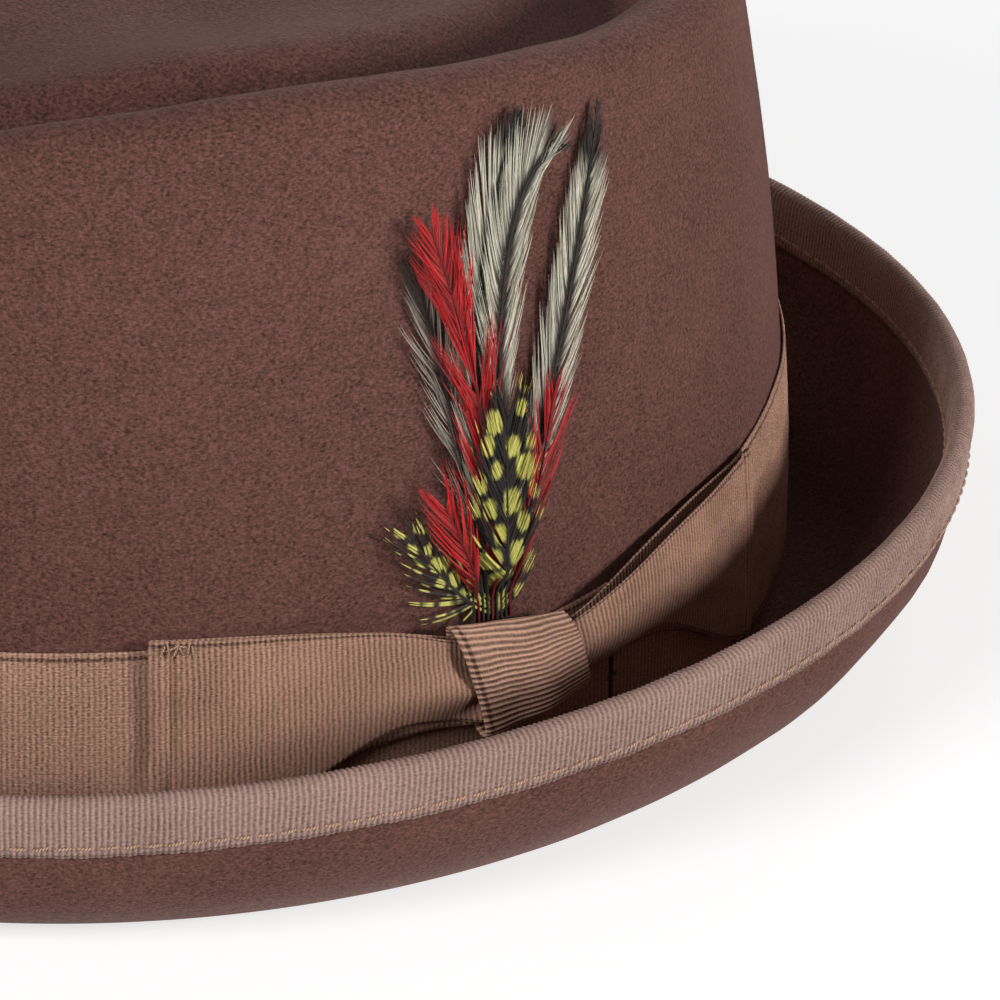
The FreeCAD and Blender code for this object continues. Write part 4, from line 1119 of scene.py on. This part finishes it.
def make_sweatband():
    path = Path(FOLD_OFFSET, FOLD_HEIGHT + OUTER_LEG, -90.0).run(OUTER_LEG).turn(FOLD_R, -180.0).run(SWEAT_SEAM)
    for offset, height in SWEAT_SIDE:
        o, h, _ = path.p[-1]
        path.p.append((offset, height, math.degrees(math.atan2(height - h, offset - o))))
    line = np.array([(o, h) for o, h, _ in path.p])
    fine = basis(len(line), np.linspace(0, 1, 44)) @ line
    angles = np.linspace(180.0 + SWEAT_END_GAP, 540.0 - SWEAT_END_GAP, 420)
    middle = place(angles[:, None], fine[None, :, 0], fine[None, :, 1])
    s = arc_length(middle[:, -1])
    v = arc_length(fine)
    upper = np.clip((fine[:, 1] - 9.0) / 12.0, 0, 1) * (np.arange(len(fine)) > 22)
    normal = normals_of(middle)
    inward = -np.sign((normal[:, -1] * place(angles, 1.0, 0.0)).sum(-1).mean())
    slack = 0.22 * np.abs(wobble(middle, 30.0, 41)) + 0.06 * wobble(middle, 8.0, 42)
    middle = middle + normal * inward * (slack * upper[None, :])[..., None]
    return sheet("sweatband_strip", middle, SWEAT_THICK - 0.1, s, v)


dress(make_sweatband(), leather_material(), "hat", "sweatband_leather", "sweatband")


def ring_tube(name, offset, height, radius, count=420, sides=12):
    angles = np.arange(count) / count * 360.0
    a = np.arange(sides) / sides * TAU
    rings = place(angles[:, None], offset + radius * np.cos(a)[None, :], height + radius * np.sin(a)[None, :])
    return loft(name, rings, weave(arc_length(rings[:, 0]), a / TAU), closed=True)


reed_look = thread_material("reed_plastic", (150, 142, 128), (196, 190, 176))
dress(ring_tube("reed_rod", REED_OFFSET, FOLD_HEIGHT, REED_R), reed_look, "hat", "reed_plastic",
      "sweatband_reed")


def make_sweat_seam():
    """Stitches through the leather, on the face that the head touches."""
    offset = REED_OFFSET - FOLD_R - SWEAT_THICK / 2 - 0.15
    height = FOLD_HEIGHT + SWEAT_SEAM
    length = arc_length(place(ROUND, offset, height))
    count = int(length[-1] / SWEAT_STITCH)
    steps = np.arange(count)
    a0, a1 = (np.interp((steps + share) / count * length[-1], length, ROUND) for share in (0.14, 0.86))
    start, end = place(a0, offset, height - 0.1), place(a1, offset, height + 0.1)
    out = place(a0, offset - 1, height) - place(a0, offset, height)
    return stitch_mesh("sweatband_seam", start, end, out, 0.19, bow=0.1)


dress(make_sweat_seam(), seam_thread, "hat", "seam_thread", "sweatband_thread")


def make_inner_bow():
    """A small flat ribbon bow over the join of the leather."""
    height, offset, width = FOLD_HEIGHT + SWEAT_SEAM + 5.6, -8.1, 5.0
    parts = []
    for direction in (1, -1):
        r = np.linspace(0, 1, 60)
        v = np.linspace(-1, 1, 14)
        half = width / 2 * (0.42 + 0.58 * np.clip(r * 1.6, 0, 1))
        fold = 0.16 * np.exp(-(r / 0.25) ** 2)[:, None] * np.cos(v * math.pi * 2.5)[None, :]
        angles = 180.0 + direction * (1.2 + 7.8 * r)
        middle = place(angles[:, None], offset + fold, height + half[:, None] * v[None, :])
        parts.append((middle, 0.36, arc_length(middle[:, 7]), v * 2.5))
    v = np.linspace(-1, 1, 14)
    r = np.linspace(-1, 1, 16)
    middle = place(180.0 + r[:, None], offset - 0.25 * (1 - r[:, None] ** 2), height + 2.0 * v[None, :])
    parts.append((middle, 0.9, arc_length(middle[:, 7]), v * 2.0))
    objects = [sheet("inner_bow_%d" % i, *part) for i, part in enumerate(parts)]
    bpy.ops.object.select_all(action="DESELECT")
    for o in objects:
        o.select_set(True)
    bpy.context.view_layer.objects.active = objects[0]
    bpy.ops.object.join()
    objects[0].name = "inner_bow"
    return objects[0]


# Its first colour is the painted shade in the rib grooves, and its second the lighter crests, which carry
# painted light.
inner_ribbon = ribbon_material("inner_ribbon", (74, 50, 42), (132, 100, 86), 0.6, (190, 160, 150), 0.6)
dress(make_inner_bow(), inner_ribbon, "hat", "inner_ribbon", "sweatband_bow")


# ---- Lining ---------------------------------------------------------------------------------------------
LINING_THICK, LINING_STANDOFF, LINING_FOOT, LINING_TOP, CORD_R = 0.3, 0.4, 12.0, 86.6, 0.7
CORD_OFFSET = float(wall(LINING_TOP)) - FELT - LINING_STANDOFF - LINING_THICK / 2 - CORD_R


def make_lining_side():
    top = LINING_TOP - CORD_R - GAP
    heights = np.linspace(LINING_FOOT, top, 40)
    angles = np.arange(900) / 900 * 360.0
    share = ((heights - LINING_FOOT) / (top - LINING_FOOT))[None, :]
    t = np.radians(angles)
    gather = 0.35 * share ** 3 * np.abs(np.sin(t * 52 + 1.3 * np.sin(t * 7)))[:, None]
    grid = place(angles[:, None], wall(heights)[None, :] - FELT - LINING_STANDOFF - LINING_THICK / 2 - gather,
                 heights[None, :])
    slack = 0.16 * wobble(grid, 26.0, 51)
    inward = np.stack([-np.sin(t), np.cos(t), 0 * t], -1)[:, None]
    grid = grid + inward * np.abs(slack)[..., None]
    s = np.arange(900) / 900 * 620.0
    return sheet("lining_wall", grid, LINING_THICK, s, heights - LINING_FOOT, closed=True)


def make_lining_tip():
    offset = CORD_OFFSET - CORD_R - GAP
    angles = np.arange(240) / 240 * 360.0
    shares = np.array([1.0, 0.995, 0.97, 0.92, 0.85, 0.75, 0.62, 0.48, 0.34, 0.2, 0.08])
    edge = place(angles, offset, LINING_TOP)
    rings = []
    for side in (1, -1):
        grid = np.repeat(edge[None], len(shares), 0)
        grid = grid * np.stack([shares, shares, np.ones(len(shares))], -1)[:, None, :]
        lift = np.full(len(shares), LINING_THICK / 2)
        lift[0] = 0.08
        grid[..., 2] = LINING_TOP + side * lift[:, None] + 0.12 * wobble(grid, 30.0, 53)
        rings.append(grid if side > 0 else grid[::-1])
    top, bottom = rings
    grid = np.concatenate([top[::-1], bottom[::-1]])
    return domed("lining_top", grid, [0, 0, top[-1, :, 2].mean()], [0, 0, bottom[0, :, 2].mean()])


satin = satin_material("lining_satin", (92, 66, 58), (128, 98, 88))
lining_wall = dress(make_lining_side(), satin, "hat", "lining_satin", "lining_side")
lining_top = dress(make_lining_tip(), satin, "hat", "lining_satin", "lining_tip")
wall_length = arc_length(place(ROUND, -FELT, LINING_FOOT))[-1]
cord_look = thread_material("lining_cord", (84, 60, 52), (140, 108, 96))
dress(ring_tube("lining_edge_cord", CORD_OFFSET, LINING_TOP, CORD_R), cord_look, "hat", "lining_cord",
      "lining_cord")


# ---- Camera, floor and lights ---------------------------------------------------------------------------
AZIMUTH, ELEVATION, DISTANCE = 50.0, 28.08, 1.300
TURN_RIGHT, TURN_UP = 0.04164, 0.00893      # slopes to the point that the camera faces, beside the origin
LENS, SENSOR = 303.05, 36.0
FLOOR_HALF, FLOOR_DROP = 6000.0, 0.0003     # mm, and m


def aim(obj, azimuth, elevation, distance, right=0.0, up=0.0):
    """Puts an object in that direction from the origin, facing it, or a point beside it at those slopes."""
    a, e = math.radians(azimuth), math.radians(elevation)
    z = np.array([math.sin(a) * math.cos(e), -math.cos(a) * math.cos(e), math.sin(e)])
    obj.location = z * distance
    x = np.cross([0, 0, 1.0], z)
    x /= np.linalg.norm(x)
    z = z - right * x - up * np.cross(z, x)
    z /= np.linalg.norm(z)
    x -= z * (x @ z)
    x /= np.linalg.norm(x)
    obj.rotation_euler = Matrix(np.stack([x, np.cross(z, x), z], 1).tolist()).to_euler()


camera_data = bpy.data.cameras.new("camera")
camera = bpy.data.objects.new("camera", camera_data)
bpy.context.scene.collection.objects.link(camera)
camera_data.sensor_width = SENSOR
camera_data.lens = LENS
camera_data.clip_end = 20.0
aim(camera, AZIMUTH, ELEVATION, DISTANCE, TURN_RIGHT, TURN_UP)
bpy.context.scene.camera = camera


def backdrop_material():
    """Matte white that the camera sees lit evenly, with the object's shadow softened."""
    s = Shader("backdrop", 0.9, specular=0.0)
    p = s.position()
    seen = s.node("ShaderNodeLightPath").outputs["Is Camera Ray"]
    white = s.mix(s.noise(p, 0.004, 2.0), srgb(238, 238, 238), srgb(244, 244, 244))
    s.color(s.mix(seen, white, (0.52, 0.52, 0.52, 1.0)))
    s.bsdf.inputs["Emission Color"].default_value = (1, 1, 1, 1)
    s.feed(s.bsdf.inputs["Emission Strength"], s.times(seen, 0.69))
    # seen through from below, and no shade to what lights the underside
    path = s.nodes["Light Path"]
    below = s.times(s.node("ShaderNodeNewGeometry").outputs["Backfacing"], seen)
    through = s.math("MAXIMUM", below, path.outputs["Is Shadow Ray"])
    mix = s.node("ShaderNodeMixShader")
    s.links.new(through, mix.inputs[0])
    s.links.new(s.bsdf.outputs[0], mix.inputs[1])
    s.links.new(s.node("ShaderNodeBsdfTransparent").outputs[0], mix.inputs[2])
    s.links.new(mix.outputs[0], s.nodes["Material Output"].inputs["Surface"])
    return s.material


corners = np.array([[-1, -1, 0], [1, -1, 0], [1, 1, 0], [-1, 1, 0]])
floor = mesh_from("floor", corners * FLOOR_HALF, [[0, 1, 2, 3]])
floor.location.z = -FLOOR_DROP
floor.data.materials.append(backdrop_material())

world = bpy.data.worlds.new("studio")
bpy.context.scene.world = world
world.use_nodes = True
background = world.node_tree.nodes["Background"]
background.inputs["Color"].default_value = (1, 1, 1, 1)
path = world.node_tree.nodes.new("ShaderNodeLightPath")
strength = world.node_tree.nodes.new("ShaderNodeMapRange")
strength.inputs["To Min"].default_value = 0.09
world.node_tree.links.new(path.outputs["Is Camera Ray"], strength.inputs["Value"])
world.node_tree.links.new(strength.outputs["Result"], background.inputs["Strength"])


LIGHT_DISTANCE = 1.6
LIGHTS = {      # azimuth, elevation, diameter in m, power in W
    "key": (115.0, 16.0, 0.4, 16.5),
    "fill": (12.0, 31.0, 0.7, 13.5),
    "back": (290.0, 55.0, 0.7, 1.5),
    "rear": (205.0, 30.0, 0.8, 3.0),
    "under": (230.0, -62.0, 0.8, 9.0),
}
for name, (azimuth, elevation, diameter, power) in LIGHTS.items():
    data = bpy.data.lights.new(name, "AREA")
    data.shape = "DISK"
    data.size = diameter
    data.energy = power
    light = bpy.data.objects.new(name, data)
    bpy.context.scene.collection.objects.link(light)
    aim(light, azimuth, elevation, LIGHT_DISTANCE)

bpy.context.scene.view_settings.view_transform = "Standard"
